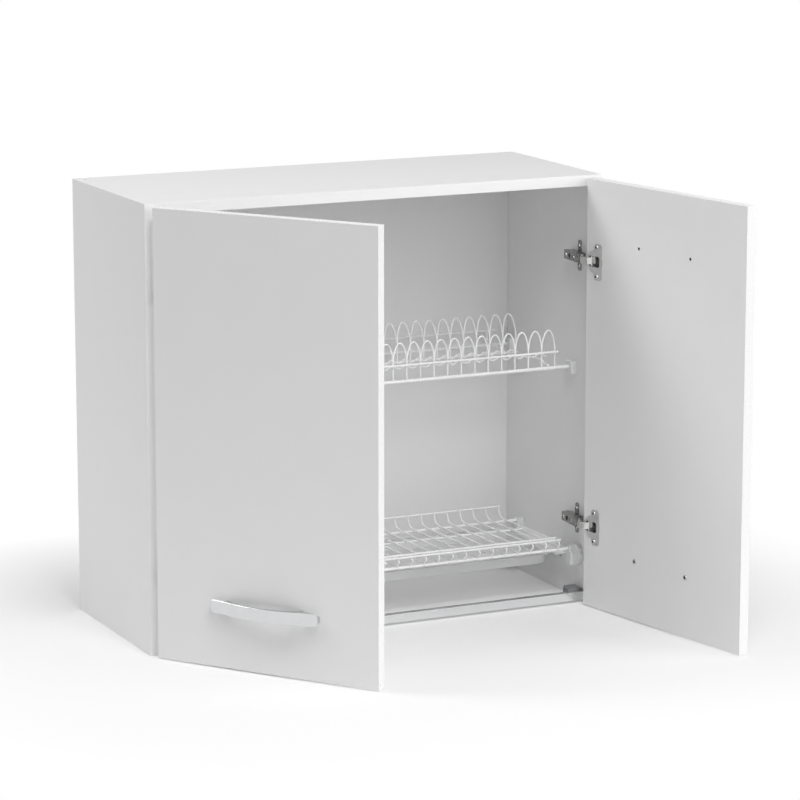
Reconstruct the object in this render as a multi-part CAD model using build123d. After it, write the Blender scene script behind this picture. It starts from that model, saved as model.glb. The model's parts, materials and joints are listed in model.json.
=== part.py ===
"""Dish drainer wall cabinet with two hinged doors, a plate rack, a cup rack and a drip tray.

Millimetres, +Z up. The origin is midway between the two wall hooks, on the wall plane.
The front faces -Y. Both doors stand open: the left one half way, the right one fully.
Everything on the left is built once with the door closed, then posed and mirrored."""

import math
import os

from build123d import *

# Carcass
CABINET_WIDTH = 800.0
CABINET_HEIGHT = 720.0
CABINET_DEPTH = 320.0
PANEL = 18.0
BACK_THICKNESS = 3.0
BACK_RECESS = 18.0
GROOVE_DEPTH = 7.0
GROOVE_PLAY = 0.3
DOWEL_RADIUS = 4.0
DOWEL_LENGTH = 40.0
DOWEL_IN_SIDE = 12.0
DOWEL_INSET = 50.0
DOWEL_END_PLAY = 1.0
FIT_PLAY = 0.05
PAST = 1.0

# Wall hooks
HOOK_DROP = 40.0
HOOK_INSET = 25.0
HOOK_HOLE_RADIUS = 4.5
HANGER_SHEET = 2.0
HANGER_WIDTH = 45.0
HANGER_HEIGHT = 42.0
HANGER_SCREW_PITCH = 26.0

# Doors
DOOR_THICKNESS = 18.0
DOOR_SIDE_REVEAL = 1.5
DOOR_MIDDLE_GAP = 3.0
DOOR_BOTTOM_REVEAL = 2.0
DOOR_TOP_REVEAL = 3.0
DOOR_FRONT_GAP = 2.0
LEFT_DOOR_OPEN = 54.1
RIGHT_DOOR_OPEN = 99.94
LEFT_LINK_TURN = 45.0
RIGHT_LINK_TURN = 56.7

# Hinges: measured from the outer face of the side and outward from the front edge
HINGE_FROM_END = 138.0
ARM_PIVOT_IN = 34.3
ARM_PIVOT_BEHIND = 2.2
CUP_PIVOT_IN = 10.0
CUP_PIVOT_DEPTH = 3.0
ARM_PIN_RADIUS = 1.5
CUP_PIN_RADIUS = 1.25
CUP_PIN_BITE = 1.2
PIVOT_PLAY = 0.06
EYE_STEPS = 4
ARM_HEIGHT = 15.0
ARM_LENGTH = 63.0
ARM_SHEET = 1.5
ARM_EYE_RADIUS = 2.8
ARM_EYE_START = -30.0
HALF_TURN = 180.0
ARM_REAR_STANDOFF = 16.5
ARM_CLEARANCE = 0.3
ARM_HEEL = 4.0
ARM_THROAT = 9.0
ARM_SLOT_SETBACK = 38.0
ARM_SLOT_LENGTH = 7.0
ARM_SLOT_HEIGHT = 7.0
LINK_HEIGHT = 11.2
LINK_SHEET = 1.2
LINK_ARCH = 9.9
LINK_ARC_STEPS = 5
LINK_SHOULDER = (3.4, 7.0)
LINK_NOSE_RISE = 2.6
LINK_THROAT = ((16.0, 6.9), (13.4, 6.4), (7.0, 1.6))
CUP_EYE_RADIUS = 2.3
CUP_EYE_NECK = 5.0
CUP_RADIUS = 17.5
CUP_RIM = 5.0
CUP_DEPTH = 11.5
CUP_WALL = 1.0
CUP_PLAY = 0.1
MOUTH_HEIGHT = 18.0
MOUTH_START = 6.9
MOUTH_END = 34.6
MOUTH_CORNER = 3.1
MOUTH_NOTCH = 2.2
FLANGE_SHEET = 1.0
FLANGE_HEIGHT = 60.0
FLANGE_IN = 20.0
FLANGE_OUT = 40.5
FLANGE_LIP = 2.0
FLANGE_CORNER = 4.0
FLANGE_SCREW_IN = 27.5
FLANGE_SCREW_PITCH = 48.0
PLATE_SETBACK = 37.0
PLATE_SHEET = 2.0
PLATE_WING_HEIGHT = 51.0
PLATE_WING_WIDTH = 10.0
PLATE_SCREW_PITCH = 32.0
PLATE_BLOCK_HEIGHT = 12.0
PLATE_BLOCK_LENGTH = 36.0
PLATE_BLOCK_TAIL = 3.0
FIXING_SCREW_SETBACK = 55.0
FIXING_SCREW_BITE = 8.0
FIXING_SCREW_LIFT = 0.3
ADJUSTING_SCREW_SETBACK = 24.0
ADJUSTING_HEAD_RADIUS = 2.4

# Handles
HANDLE_HOLE_PITCH = 128.0
HANDLE_FROM_END = 99.5
HANDLE_LENGTH = 192.0
HANDLE_HEIGHT = 20.0
HANDLE_STANDOFF = 24.5
HANDLE_THICKNESS = 5.0
HANDLE_PAD = 32.0
HANDLE_PAD_THICKNESS = 4.5
HANDLE_SHOULDER = 16.0
HANDLE_ARCH_RISE = 8.5
HANDLE_TOE = 3.0
HANDLE_SCREW_RADIUS = 2.0
HANDLE_SCREW_HEAD_RADIUS = 4.2
HANDLE_SCREW_BITE = 4.0
HANDLE_SCREW_END_PLAY = 0.5
SPARE_HOLE_RADIUS = 2.5
SPARE_HOLE_DEPTH = 13.0

# Screws, and how many flats stand for a round on a small piece
SCREW_RADIUS = 1.75
SCREW_HEAD_RADIUS = 3.5
SCREW_HEAD_HEIGHT = 2.0
SCREW_LENGTH = 12.0
HEAD_SIDES = 6
SHANK_SIDES = 4
DOWEL_SIDES = 8
THIN_ROD_SIDES = 8
THICK_ROD_SIDES = 12
PIN_HOLE_SIDES = 8
CUP_SIDES = 18
BOSS_SIDES = 18
CORNER_STEPS = 4

# Base bars and their corner brackets
BAR_SETBACK = 6.0
BAR_LIFT = 4.0
BAR_HEIGHT = 14.0
BAR_DEPTH = 12.0
BAR_WALL = 1.4
BRACKET_LENGTH = 27.0
BRACKET_DEPTH = 30.0
BRACKET_WALL = 3.0
BRACKET_RISE = 3.0
BRACKET_TAIL = 14.0
BRACKET_NOSE_IN = 8.0
BRACKET_NOSE_OUT = 12.0
BRACKET_PLAY = 0.3

# Wire
WIRE = 2.2
THIN_ROD_RADIUS = 1.6
THICK_ROD_RADIUS = 2.5
CROSS_BAR = 4.0
TOUCH = 0.03
SEAT_TOUCH = 0.3
WIRE_PITCH = 24.8
RACK_END_GAP = 34.0
ROD_OVERHANG = 4.0
ROD_END_GAP = 3.0

# Plate rack: the level is above the bottom edge, and setbacks are behind the front edge
PLATE_RACK_LEVEL = 393.0
PLATE_RACK_REAR_RISE = 2.0
UPPER_ROD_RISE = 27.0
FRONT_LOOP_SETBACK = 56.0
FRONT_LOOP_LEG = 41.5
FRONT_LOOP_CROWN = 24.0
REAR_LOOP_SETBACK = 197.0
REAR_LOOP_LEG = 41.5
REAR_LOOP_CROWN = 32.0
REAR_ROD_TO_WALL = 40.0
REAR_ROD_SETBACK = CABINET_DEPTH - REAR_ROD_TO_WALL
FRONT_SEAT_SETBACK = 86.0
FRONT_SEAT_RISE = 17.0
REAR_SEAT_SETBACK = 192.0
REAR_SEAT_RISE = 5.0
SEAT_WAVE = 6.0
BAR_LANDING = 8.0
CROWN_STEPS = 3
CLIP_DEPTH = 24.0
CLIP_BELOW_ROD = 11.0
CLIP_ABOVE_ROD = 9.0
CLIP_THICKNESS = 11.0
CLIP_WALL = 3.0
CLIP_PEG = 9.0
CRADLE_PLAY = 0.3

# Cup rack
CUP_RACK_FLOOR_FRONT = 100.0
CUP_RACK_FLOOR_REAR = 95.5
CUP_RACK_FRONT = 34.0
CUP_RACK_REAR = 244.0
CUP_RACK_BACK_REST = 259.0
CUP_RACK_BACK_TOP = 115.0
CUP_RACK_LIP_DROP = 12.2
CUP_RACK_LIP_RETURN = 62.0
CUP_RACK_NOSE = 4.5
CUP_RACK_BACK_ROD_DROP = 2.0
CUP_RACK_CARRY_SETBACK = 45.0
CUP_RACK_CARRY_RADIUS = 2.25
CUP_RACK_GUARD_SETBACK = 55.0
CUP_RACK_EDGE_SETBACK = 38.0
CUP_RACK_MIDDLE_SETBACK = 165.0
CUP_RACK_HEEL_SETBACK = 236.0

# Rack supports and drip tray
RAIL_THICKNESS = 14.0
RAIL_BOTTOM = 58.0
RAIL_TOP = 80.0
RAIL_FRONT = 35.0
RAIL_REAR = 250.0
FRONT_BOSS_RADIUS = 18.5
FRONT_BOSS_SETBACK = 33.0
FRONT_BOSS_THICKNESS = 9.0
REAR_BOSS_RADIUS = 12.0
CRADLE_WALL = 3.5
CRADLE_ROOT = 4.0
CRADLE_RISE = 4.0
SUPPORT_SCREW_FROM_BOSS = 20.0
SUPPORT_SCREW_FROM_REAR = 30.0
SUPPORT_SCREW_LAND = 4.0
SUPPORT_RECESS_RADIUS = 5.0
LEDGE_SHEET = 2.5
LEDGE_OVERLAP = 5.0
TRAY_END_GAP = 35.0
TRAY_WIDTH = 190.0
TRAY_SETBACK = 55.0
TRAY_DEPTH = 18.0
TRAY_WALL = 1.8
TRAY_RIM = 7.0
TRAY_CORNER = 30.0
TRAY_DRAFT = 12.0
TRAY_SEAT_PLAY = 0.1
TRAY_TOP_DROP = 2.0

# Planes that the rest is measured from
HALF_WIDTH = CABINET_WIDTH / 2
INNER_X = HALF_WIDTH - PANEL
FRONT_Y = -CABINET_DEPTH
TOP_Z = HOOK_DROP
BOTTOM_Z = TOP_Z - CABINET_HEIGHT
BACK_REAR_Y = -BACK_RECESS
BACK_FRONT_Y = BACK_REAR_Y - BACK_THICKNESS
DOOR_WIDTH = HALF_WIDTH - DOOR_SIDE_REVEAL - DOOR_MIDDLE_GAP / 2
DOOR_HEIGHT = CABINET_HEIGHT - DOOR_BOTTOM_REVEAL - DOOR_TOP_REVEAL
DOOR_BOTTOM_Z = BOTTOM_Z + DOOR_BOTTOM_REVEAL
HINGE_HEIGHTS = (BOTTOM_Z + HINGE_FROM_END, TOP_Z - HINGE_FROM_END)
HANDLE_MIDDLE = DOOR_WIDTH / 2
LEFT_INNER_FACE = -INNER_X
CUP_MIDDLE = CUP_RIM + CUP_RADIUS
CUP_PIN_REACH = MOUTH_HEIGHT / 2 + CUP_PIN_BITE
LOOP_COUNT = math.floor(2 * (INNER_X - RACK_END_GAP) / WIRE_PITCH)
RACK_HALF = WIRE_PITCH * LOOP_COUNT / 2
CROSS_BAR_PLACES = (-RACK_HALF + WIRE_PITCH / 2, 0, RACK_HALF - WIRE_PITCH / 2)
CRADLE_ROD_END = INNER_X - CLIP_WALL - ROD_END_GAP
TRAY_LENGTH = 2 * (INNER_X - TRAY_END_GAP)


def behind(setback):
    """Y of a plane this far behind the front edge of the cabinet."""
    return FRONT_Y + setback


def above(height):
    """Z of a level this far above the bottom edge of the cabinet."""
    return BOTTOM_Z + height


def plan(inward, outward):
    """X, Y of a point on the left, inward of the outer face and outward of the front edge."""
    return (-HALF_WIDTH + inward, FRONT_Y - outward)


def on_door(along, depth):
    """X, Y of a point on the closed left door, along it from its hinge edge, in from its inner face."""
    return plan(DOOR_SIDE_REVEAL + along, DOOR_FRONT_GAP + depth)


def block(x_range, y_range, z_range):
    """A box between two X, two Y and two Z values."""
    size = (abs(x_range[1] - x_range[0]), abs(y_range[1] - y_range[0]), abs(z_range[1] - z_range[0]))
    middle = (sum(x_range) / 2, sum(y_range) / 2, sum(z_range) / 2)
    return Pos(*middle) * Box(*size)


def flat_block(outline, z_range):
    """A plate with a plan outline between two levels."""
    face = Polygon(*outline, align=None)
    return Pos(0, 0, min(z_range)) * extrude(face, amount=abs(z_range[1] - z_range[0]), dir=(0, 0, 1))


def rod(radius, start, end):
    """A round bar between two points."""
    start = Vector(*start)
    end = Vector(*end)
    span = end - start
    return Plane(origin=start, z_dir=span) * Cylinder(
        radius, span.length, align=(Align.CENTER, Align.CENTER, Align.MIN)
    )


def prism(sides, radius, start, end):
    """A straight bar with flats between two points, its corners on a circle of the radius."""
    start = Vector(*start)
    span = Vector(*end) - start
    face = Plane(origin=start, z_dir=span) * RegularPolygon(radius, sides)
    return extrude(face, amount=span.length, dir=span.normalized())


def clear_radius(radius, sides):
    """Corner radius of a hole with flats that a round of the given radius just passes."""
    return radius / math.cos(math.pi / sides)


def mirror_left_to_right(shape):
    """The right-hand twin of a left-hand piece."""
    return mirror(shape, about=Plane.YZ)


def turn_about(point, angle):
    """A turn about a vertical axis through a plan point, anticlockwise seen from above."""
    return Pos(point[0], point[1], 0) * Rot(0, 0, angle) * Pos(-point[0], -point[1], 0)


ARM_PIVOT = plan(ARM_PIVOT_IN, -ARM_PIVOT_BEHIND)
CUP_PIVOT = on_door(CUP_PIVOT_IN, CUP_PIVOT_DEPTH)


def link_pose(link_turn):
    """Where a link goes from its closed place."""
    return turn_about(ARM_PIVOT, link_turn)


def door_pose(door_open, link_turn):
    """Where a door goes from its closed place: it turns on the link, and the link on the arm."""
    return link_pose(link_turn) * turn_about(CUP_PIVOT, -door_open - link_turn)


def at_each_hinge(piece):
    """Copies of a piece built at level 0, at the lower and the upper hinge."""
    return [Pos(0, 0, height) * piece for height in HINGE_HEIGHTS]


def bar_along(sides, radius, length, direction):
    """A bar with flats, from the origin along a direction."""
    return prism(sides, radius, (0, 0, 0), tuple(part * length for part in direction))


def screw(seat, direction, length=SCREW_LENGTH, radius=SCREW_RADIUS, head_radius=SCREW_HEAD_RADIUS):
    """A screw whose head rests on the seat point and whose shank runs along the direction."""
    away = tuple(-part for part in direction)
    shank = bar_along(SHANK_SIDES, radius - FIT_PLAY, length, direction)
    head = bar_along(HEAD_SIDES, head_radius, SCREW_HEAD_HEIGHT, away)
    return Pos(*seat) * (shank + head)


def pilot(seat, direction, length=SCREW_LENGTH, radius=SCREW_RADIUS):
    """The hole for a screw, a little deeper than its shank."""
    return Pos(*seat) * bar_along(SHANK_SIDES, radius, length + PAST, direction)


# Screw places on the left side and door

def plate_screw_seats():
    """Points on the side panel under the hinge plate screws."""
    y = behind(PLATE_SETBACK)
    levels = [z + end * PLATE_SCREW_PITCH / 2 for z in HINGE_HEIGHTS for end in (-1, 1)]
    return [(LEFT_INNER_FACE, y, z) for z in levels]


def flange_screw_seats():
    """Points on the closed door's inner face under the cup flange screws."""
    x, y = on_door(FLANGE_SCREW_IN, 0)
    levels = [z + end * FLANGE_SCREW_PITCH / 2 for z in HINGE_HEIGHTS for end in (-1, 1)]
    return [(x, y, z) for z in levels]


def handle_screw_seats(from_bottom):
    """Points on the closed door's inner face over the two handle screws."""
    z = DOOR_BOTTOM_Z + from_bottom
    offsets = (-HANDLE_HOLE_PITCH / 2, HANDLE_HOLE_PITCH / 2)
    return [(*on_door(HANDLE_MIDDLE + offset, 0), z) for offset in offsets]


def hanger_screw_seats():
    """Points on the side panel under the hanging bracket screws."""
    y = (BACK_REAR_Y - HANGER_SHEET) / 2
    return [(LEFT_INNER_FACE, y, end * HANGER_SCREW_PITCH / 2) for end in (-1, 1)]


def support_screw_seats():
    """Points on the side panel under the rack support screws."""
    z = above((RAIL_BOTTOM + RAIL_TOP) / 2)
    front = FRONT_BOSS_SETBACK + FRONT_BOSS_RADIUS + SUPPORT_SCREW_FROM_BOSS
    rear = RAIL_REAR - SUPPORT_SCREW_FROM_REAR
    return [(LEFT_INNER_FACE, behind(setback), z) for setback in (front, rear)]


def bracket_screw_seats():
    """Points on the side panel under the base bracket screws."""
    z = above(BAR_LIFT + BAR_HEIGHT / 2)
    return [(LEFT_INNER_FACE, y, z) for y in (front_bracket_middle(), rear_bracket_middle())]


def front_bar_rear():
    """Y of the rear face of the front base bar."""
    return behind(BAR_SETBACK + BAR_DEPTH)


def rear_bar_front():
    """Y of the front face of the rear base bar."""
    return BACK_FRONT_Y - BRACKET_PLAY - BAR_DEPTH


def bracket_hollow():
    """How far from its bar a base bracket's hollow starts and ends."""
    return (BRACKET_PLAY + BRACKET_WALL, BRACKET_DEPTH - BRACKET_TAIL)


def front_bracket_middle():
    """Y of the middle of a front base bracket's hollow."""
    return front_bar_rear() + sum(bracket_hollow()) / 2


def rear_bracket_middle():
    """Y of the middle of a rear base bracket's hollow."""
    return rear_bar_front() - sum(bracket_hollow()) / 2


def clip_places():
    """Rod setback and height for the front and the rear plate rack clips."""
    return (
        (FRONT_LOOP_SETBACK, PLATE_RACK_LEVEL),
        (REAR_ROD_SETBACK, PLATE_RACK_LEVEL + PLATE_RACK_REAR_RISE),
    )


# Carcass pieces


def back_groove(x_range, z_range):
    """The groove that the edge of the back slides into."""
    y_range = (BACK_FRONT_Y - GROOVE_PLAY / 2, BACK_REAR_Y + GROOVE_PLAY / 2)
    return block(x_range, y_range, z_range)


def dowel(radius, inner_end, outer_end, y):
    """A dowel, or its hole, across the joint of the top and the left side, by its ends' X."""
    level = TOP_Z - PANEL / 2
    return prism(DOWEL_SIDES, radius, (inner_end, y, level), (outer_end, y, level))


def side_panel():
    """The left side: groove for the back, holes for dowels, hinge plates, clips, rails and brackets."""
    panel = block((-HALF_WIDTH, -INNER_X), (FRONT_Y, 0), (BOTTOM_Z, TOP_Z))
    panel -= back_groove((-INNER_X - GROOVE_DEPTH, -INNER_X + PAST), (BOTTOM_Z - PAST, TOP_Z + PAST))
    for y in dowel_rows():
        panel -= dowel(DOWEL_RADIUS, -INNER_X + PAST, -INNER_X - DOWEL_IN_SIDE - DOWEL_END_PLAY, y)
    seats = plate_screw_seats() + hanger_screw_seats() + support_screw_seats() + bracket_screw_seats()
    for seat in seats:
        panel -= pilot(seat, (-1, 0, 0))
    for setback, height in clip_places():
        panel -= pilot((LEFT_INNER_FACE, behind(setback), above(height)), (-1, 0, 0), CLIP_PEG)
    return panel


def dowel_rows():
    """Y of the front and the rear dowel."""
    return (behind(DOWEL_INSET), BACK_FRONT_Y - DOWEL_INSET)


def top_panel():
    """The top, held between the sides by dowels, with a groove for the back."""
    panel = block((-INNER_X, INNER_X), (FRONT_Y, 0), (TOP_Z - PANEL, TOP_Z))
    groove_z = (TOP_Z - PANEL - PAST, TOP_Z - PANEL + GROOVE_DEPTH)
    panel -= back_groove((-INNER_X - PAST, INNER_X + PAST), groove_z)
    reach = DOWEL_LENGTH - DOWEL_IN_SIDE + DOWEL_END_PLAY
    for y in dowel_rows():
        hole = dowel(DOWEL_RADIUS, -INNER_X + reach, -INNER_X - PAST, y)
        panel -= hole
        panel -= mirror_left_to_right(hole)
    return panel


def dowels():
    """Four wooden dowels across the joints of the top and the sides."""
    inner_end = -INNER_X + DOWEL_LENGTH - DOWEL_IN_SIDE
    outer_end = -INNER_X - DOWEL_IN_SIDE
    pegs = [dowel(DOWEL_RADIUS - FIT_PLAY, inner_end, outer_end, y) for y in dowel_rows()]
    return pegs + [mirror_left_to_right(peg) for peg in pegs]


def back_panel():
    """The thin back, in the grooves of the sides and the top."""
    reach = INNER_X + GROOVE_DEPTH - GROOVE_PLAY
    top = TOP_Z - PANEL + GROOVE_DEPTH - GROOVE_PLAY
    return block((-reach, reach), (BACK_FRONT_Y, BACK_REAR_Y), (BOTTOM_Z, top))


def hanging_bracket():
    """The left steel bracket behind the back, with the hole that the wall hook enters."""
    z_range = (-HANGER_HEIGHT / 2, HANGER_HEIGHT / 2)
    on_side = block((-INNER_X, -INNER_X + HANGER_SHEET), (BACK_REAR_Y + HANGER_SHEET / 2, 0), z_range)
    on_wall = block((-INNER_X, -INNER_X + HANGER_WIDTH), (-HANGER_SHEET, 0), z_range)
    bracket = on_side + on_wall
    hook_x = -INNER_X + HOOK_INSET
    bracket -= rod(HOOK_HOLE_RADIUS, (hook_x, -HANGER_SHEET - PAST, 0), (hook_x, PAST, 0))
    for seat in hanger_screw_seats():
        bracket -= pilot((seat[0] + HANGER_SHEET + PAST, seat[1], seat[2]), (-1, 0, 0))
    return bracket


def side_screws(seats, lift, length=SCREW_LENGTH):
    """Screws into the left side panel, through a piece of the given thickness."""
    return [screw((x + lift, y, z), (-1, 0, 0), length) for x, y, z in seats]


# Base


def base_bar(front):
    """An aluminium channel between the sides, open towards the inside of the cabinet."""
    reach = INNER_X - BRACKET_WALL - BRACKET_PLAY
    z_range = (above(BAR_LIFT), above(BAR_LIFT + BAR_HEIGHT))
    if front:
        y_range = (behind(BAR_SETBACK), front_bar_rear())
        hollow_y = (behind(BAR_SETBACK) + BAR_WALL, front_bar_rear() + PAST)
    else:
        y_range = (rear_bar_front(), rear_bar_front() + BAR_DEPTH)
        hollow_y = (rear_bar_front() - PAST, rear_bar_front() + BAR_DEPTH - BAR_WALL)
    hollow_z = (z_range[0] + BAR_WALL, z_range[1] - BAR_WALL)
    bar = block((-reach, reach), y_range, z_range)
    return bar - block((-reach - PAST, reach + PAST), hollow_y, hollow_z)


def base_bracket(front):
    """A hollow plastic corner piece with a tongue that plugs into the end of a base bar."""
    start = front_bar_rear() if front else rear_bar_front()
    inward = 1 if front else -1
    z_low = above(BAR_LIFT)
    z_high = above(BAR_LIFT + BAR_HEIGHT + BRACKET_RISE)
    x_inner = -INNER_X + BRACKET_LENGTH
    near = start + inward * BRACKET_PLAY
    far = start + inward * BRACKET_DEPTH
    outline = [
        (-INNER_X, near),
        (x_inner, near),
        (x_inner, far - inward * BRACKET_NOSE_OUT),
        (x_inner - BRACKET_NOSE_IN, far),
        (-INNER_X, far),
    ]
    body = flat_block(outline, (z_low, z_high))
    hollow_start, hollow_end = bracket_hollow()
    body -= block(
        (-INNER_X + BRACKET_WALL, x_inner - BRACKET_WALL),
        (start + inward * hollow_start, start + inward * hollow_end),
        (z_low - PAST, z_high - BRACKET_WALL),
    )
    tongue_end = start - inward * (BAR_DEPTH - BAR_WALL - BRACKET_PLAY)
    tongue = block(
        (-INNER_X, x_inner - BRACKET_WALL),
        (near, tongue_end),
        (z_low + BAR_WALL + BRACKET_PLAY, z_low + BAR_HEIGHT - BAR_WALL - BRACKET_PLAY),
    )
    strip_y = (near, start - inward * BAR_DEPTH)
    end_strip = block((-INNER_X, -INNER_X + BRACKET_WALL), strip_y, (z_low, z_high))
    bracket = body + tongue + end_strip
    seat = bracket_screw_seats()[0 if front else 1]
    bracket -= pilot((seat[0] + BRACKET_WALL + PAST, seat[1], seat[2]), (-1, 0, 0))
    return bracket


# Hinges, built at level 0 on the left with the door closed


def link_axes():
    """Unit vectors in plan measures: along the closed link and square to it, away from the cabinet."""
    start = (ARM_PIVOT_IN, -ARM_PIVOT_BEHIND)
    end = (DOOR_SIDE_REVEAL + CUP_PIVOT_IN, DOOR_FRONT_GAP + CUP_PIVOT_DEPTH)
    length = math.dist(start, end)
    along = ((end[0] - start[0]) / length, (end[1] - start[1]) / length)
    return length, along, (along[1], -along[0])


LINK_LENGTH, LINK_ALONG, LINK_SQUARE = link_axes()


def on_link(along, square):
    """X, Y of a point of the closed link, from the arm pivot."""
    inward = ARM_PIVOT_IN + along * LINK_ALONG[0] + square * LINK_SQUARE[0]
    outward = -ARM_PIVOT_BEHIND + along * LINK_ALONG[1] + square * LINK_SQUARE[1]
    return plan(inward, outward)


def upright_pin(centre, radius, height):
    """A round pin on a vertical axis, centred on level 0."""
    return Pos(centre[0], centre[1], 0) * Cylinder(radius, height)


def upright_bore(centre, radius, height):
    """A small hole on a vertical axis that a pin of the given radius just passes."""
    corner = clear_radius(radius, PIN_HOLE_SIDES)
    return prism(PIN_HOLE_SIDES, corner, (*centre, -height / 2), (*centre, height / 2))


def eye_points(middle, radius, start, end):
    """Points round an eye, from one angle to another in degrees."""
    steps = range(EYE_STEPS + 1)
    angles = [math.radians(start + (end - start) * step / EYE_STEPS) for step in steps]
    return [(middle[0] + radius * math.cos(angle), middle[1] + radius * math.sin(angle)) for angle in angles]


def sheet_arc(start, middle, end, sheet):
    """Points along the round arc through three points, on its outer and on its inner face."""
    arc = ThreePointArc(start, middle, end)
    centre = arc.arc_center
    inner_share = 1 - sheet / arc.radius
    outer = [arc @ (step / LINK_ARC_STEPS) for step in range(LINK_ARC_STEPS + 1)]
    inner = [centre + (point - centre) * inner_share for point in outer]
    return [(point.X, point.Y) for point in outer], [(point.X, point.Y) for point in inner]


def hinge_plate():
    """The cross-shaped mounting plate with its raised block for the arm."""
    y = behind(PLATE_SETBACK)
    half_wing = PLATE_WING_WIDTH / 2
    reach = PLATE_WING_HEIGHT / 2
    corner = half_wing / 2
    top_end = [(half_wing, reach - corner), (half_wing - corner, reach), (corner - half_wing, reach)]
    low_end = [(-across, -level) for across, level in top_end]
    wing = top_end + [(-half_wing, reach - corner)] + low_end + [(half_wing, corner - reach)]
    wing_face = Plane.YZ * Polygon(*wing, align=None)
    plate = Pos(LEFT_INNER_FACE, y, 0) * extrude(wing_face, amount=PLATE_SHEET, dir=(1, 0, 0))
    block_half = PLATE_BLOCK_HEIGHT / 2 - 2 * FIT_PLAY - ARM_CLEARANCE
    block_y = (y - PLATE_BLOCK_LENGTH / 2, y + PLATE_BLOCK_LENGTH / 2 + PLATE_BLOCK_TAIL)
    plate += block((LEFT_INNER_FACE, plate_block_top()), block_y, (-block_half, block_half))
    for end in (-1, 1):
        seat = (LEFT_INNER_FACE + PLATE_SHEET + PAST, y, end * PLATE_SCREW_PITCH / 2)
        plate -= pilot(seat, (-1, 0, 0))
    seat = (plate_block_top() + PAST, behind(FIXING_SCREW_SETBACK), 0)
    plate -= pilot(seat, (-1, 0, 0), FIXING_SCREW_BITE)
    return plate


def plate_block_top():
    """X of the face of the mounting plate's block, just under the arm."""
    return LEFT_INNER_FACE + ARM_REAR_STANDOFF - ARM_SHEET - ARM_CLEARANCE


def hinge_arm():
    """The arm, a channel over the mounting plate, whose front lugs hold the link's pin."""
    rear = -ARM_LENGTH
    front = -ARM_PIVOT_BEHIND
    crown = ARM_PIVOT_IN + ARM_EYE_RADIUS
    rear_crown = PANEL + ARM_REAR_STANDOFF
    foot = PANEL + PLATE_SHEET + ARM_CLEARANCE
    heel = [(foot, rear + ARM_HEEL), (foot + ARM_HEEL, rear), (rear_crown, rear), (crown, rear / 2)]
    eye = eye_points((ARM_PIVOT_IN, front), ARM_EYE_RADIUS, 0, HALF_TURN)
    throat = [(ARM_PIVOT_IN - ARM_EYE_RADIUS, front - ARM_THROAT), (foot, front - 2 * ARM_THROAT)]
    half = ARM_HEIGHT / 2
    arm = flat_block([plan(*point) for point in heel + eye + throat], (-half, half))
    web_end = front - ARM_EYE_RADIUS - 2 * ARM_CLEARANCE
    open_end = ARM_EYE_RADIUS + PAST
    hollow = [
        (foot - PAST, rear - PAST),
        (rear_crown - ARM_SHEET, rear - PAST),
        (crown - ARM_SHEET, rear / 2),
        (crown - ARM_SHEET, web_end),
        (crown + PAST, web_end),
        (crown + PAST, open_end),
        (foot - PAST, open_end),
    ]
    inside = half - ARM_SHEET
    arm -= flat_block([plan(*point) for point in hollow], (-inside, inside))
    arm -= upright_bore(ARM_PIVOT, ARM_PIN_RADIUS + FIT_PLAY / 2, ARM_HEIGHT + PAST)
    above_crown = -HALF_WIDTH + crown + PAST
    slot_y = (behind(ARM_SLOT_SETBACK), behind(ARM_SLOT_SETBACK + ARM_SLOT_LENGTH))
    slot_x = (plate_block_top(), above_crown)
    arm -= block(slot_x, slot_y, (-ARM_SLOT_HEIGHT / 2, ARM_SLOT_HEIGHT / 2))
    for setback in (FIXING_SCREW_SETBACK, ADJUSTING_SCREW_SETBACK):
        arm -= pilot((above_crown, behind(setback), 0), (-1, 0, 0), above_crown - plate_block_top())
    return arm


def arm_screws():
    """The fixing screw at the rear of an arm and the adjusting screw nearer its front."""
    rear_share = (FIXING_SCREW_SETBACK - ARM_LENGTH / 2) / (ARM_LENGTH / 2)
    crown = ARM_PIVOT_IN + ARM_EYE_RADIUS
    slope = crown - PANEL - ARM_REAR_STANDOFF
    fixing_x = -HALF_WIDTH + crown - slope * rear_share + FIXING_SCREW_LIFT
    adjusting_x = -HALF_WIDTH + crown + FIT_PLAY
    fixing_length = fixing_x - plate_block_top() + FIXING_SCREW_BITE - PAST
    adjusting_length = adjusting_x - plate_block_top() - FIT_PLAY
    fixing_seat = (fixing_x, behind(FIXING_SCREW_SETBACK), 0)
    adjusting_seat = (adjusting_x, behind(ADJUSTING_SCREW_SETBACK), 0)
    return [
        screw(fixing_seat, (-1, 0, 0), fixing_length),
        screw(adjusting_seat, (-1, 0, 0), adjusting_length, SCREW_RADIUS, ADJUSTING_HEAD_RADIUS),
    ]


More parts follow.
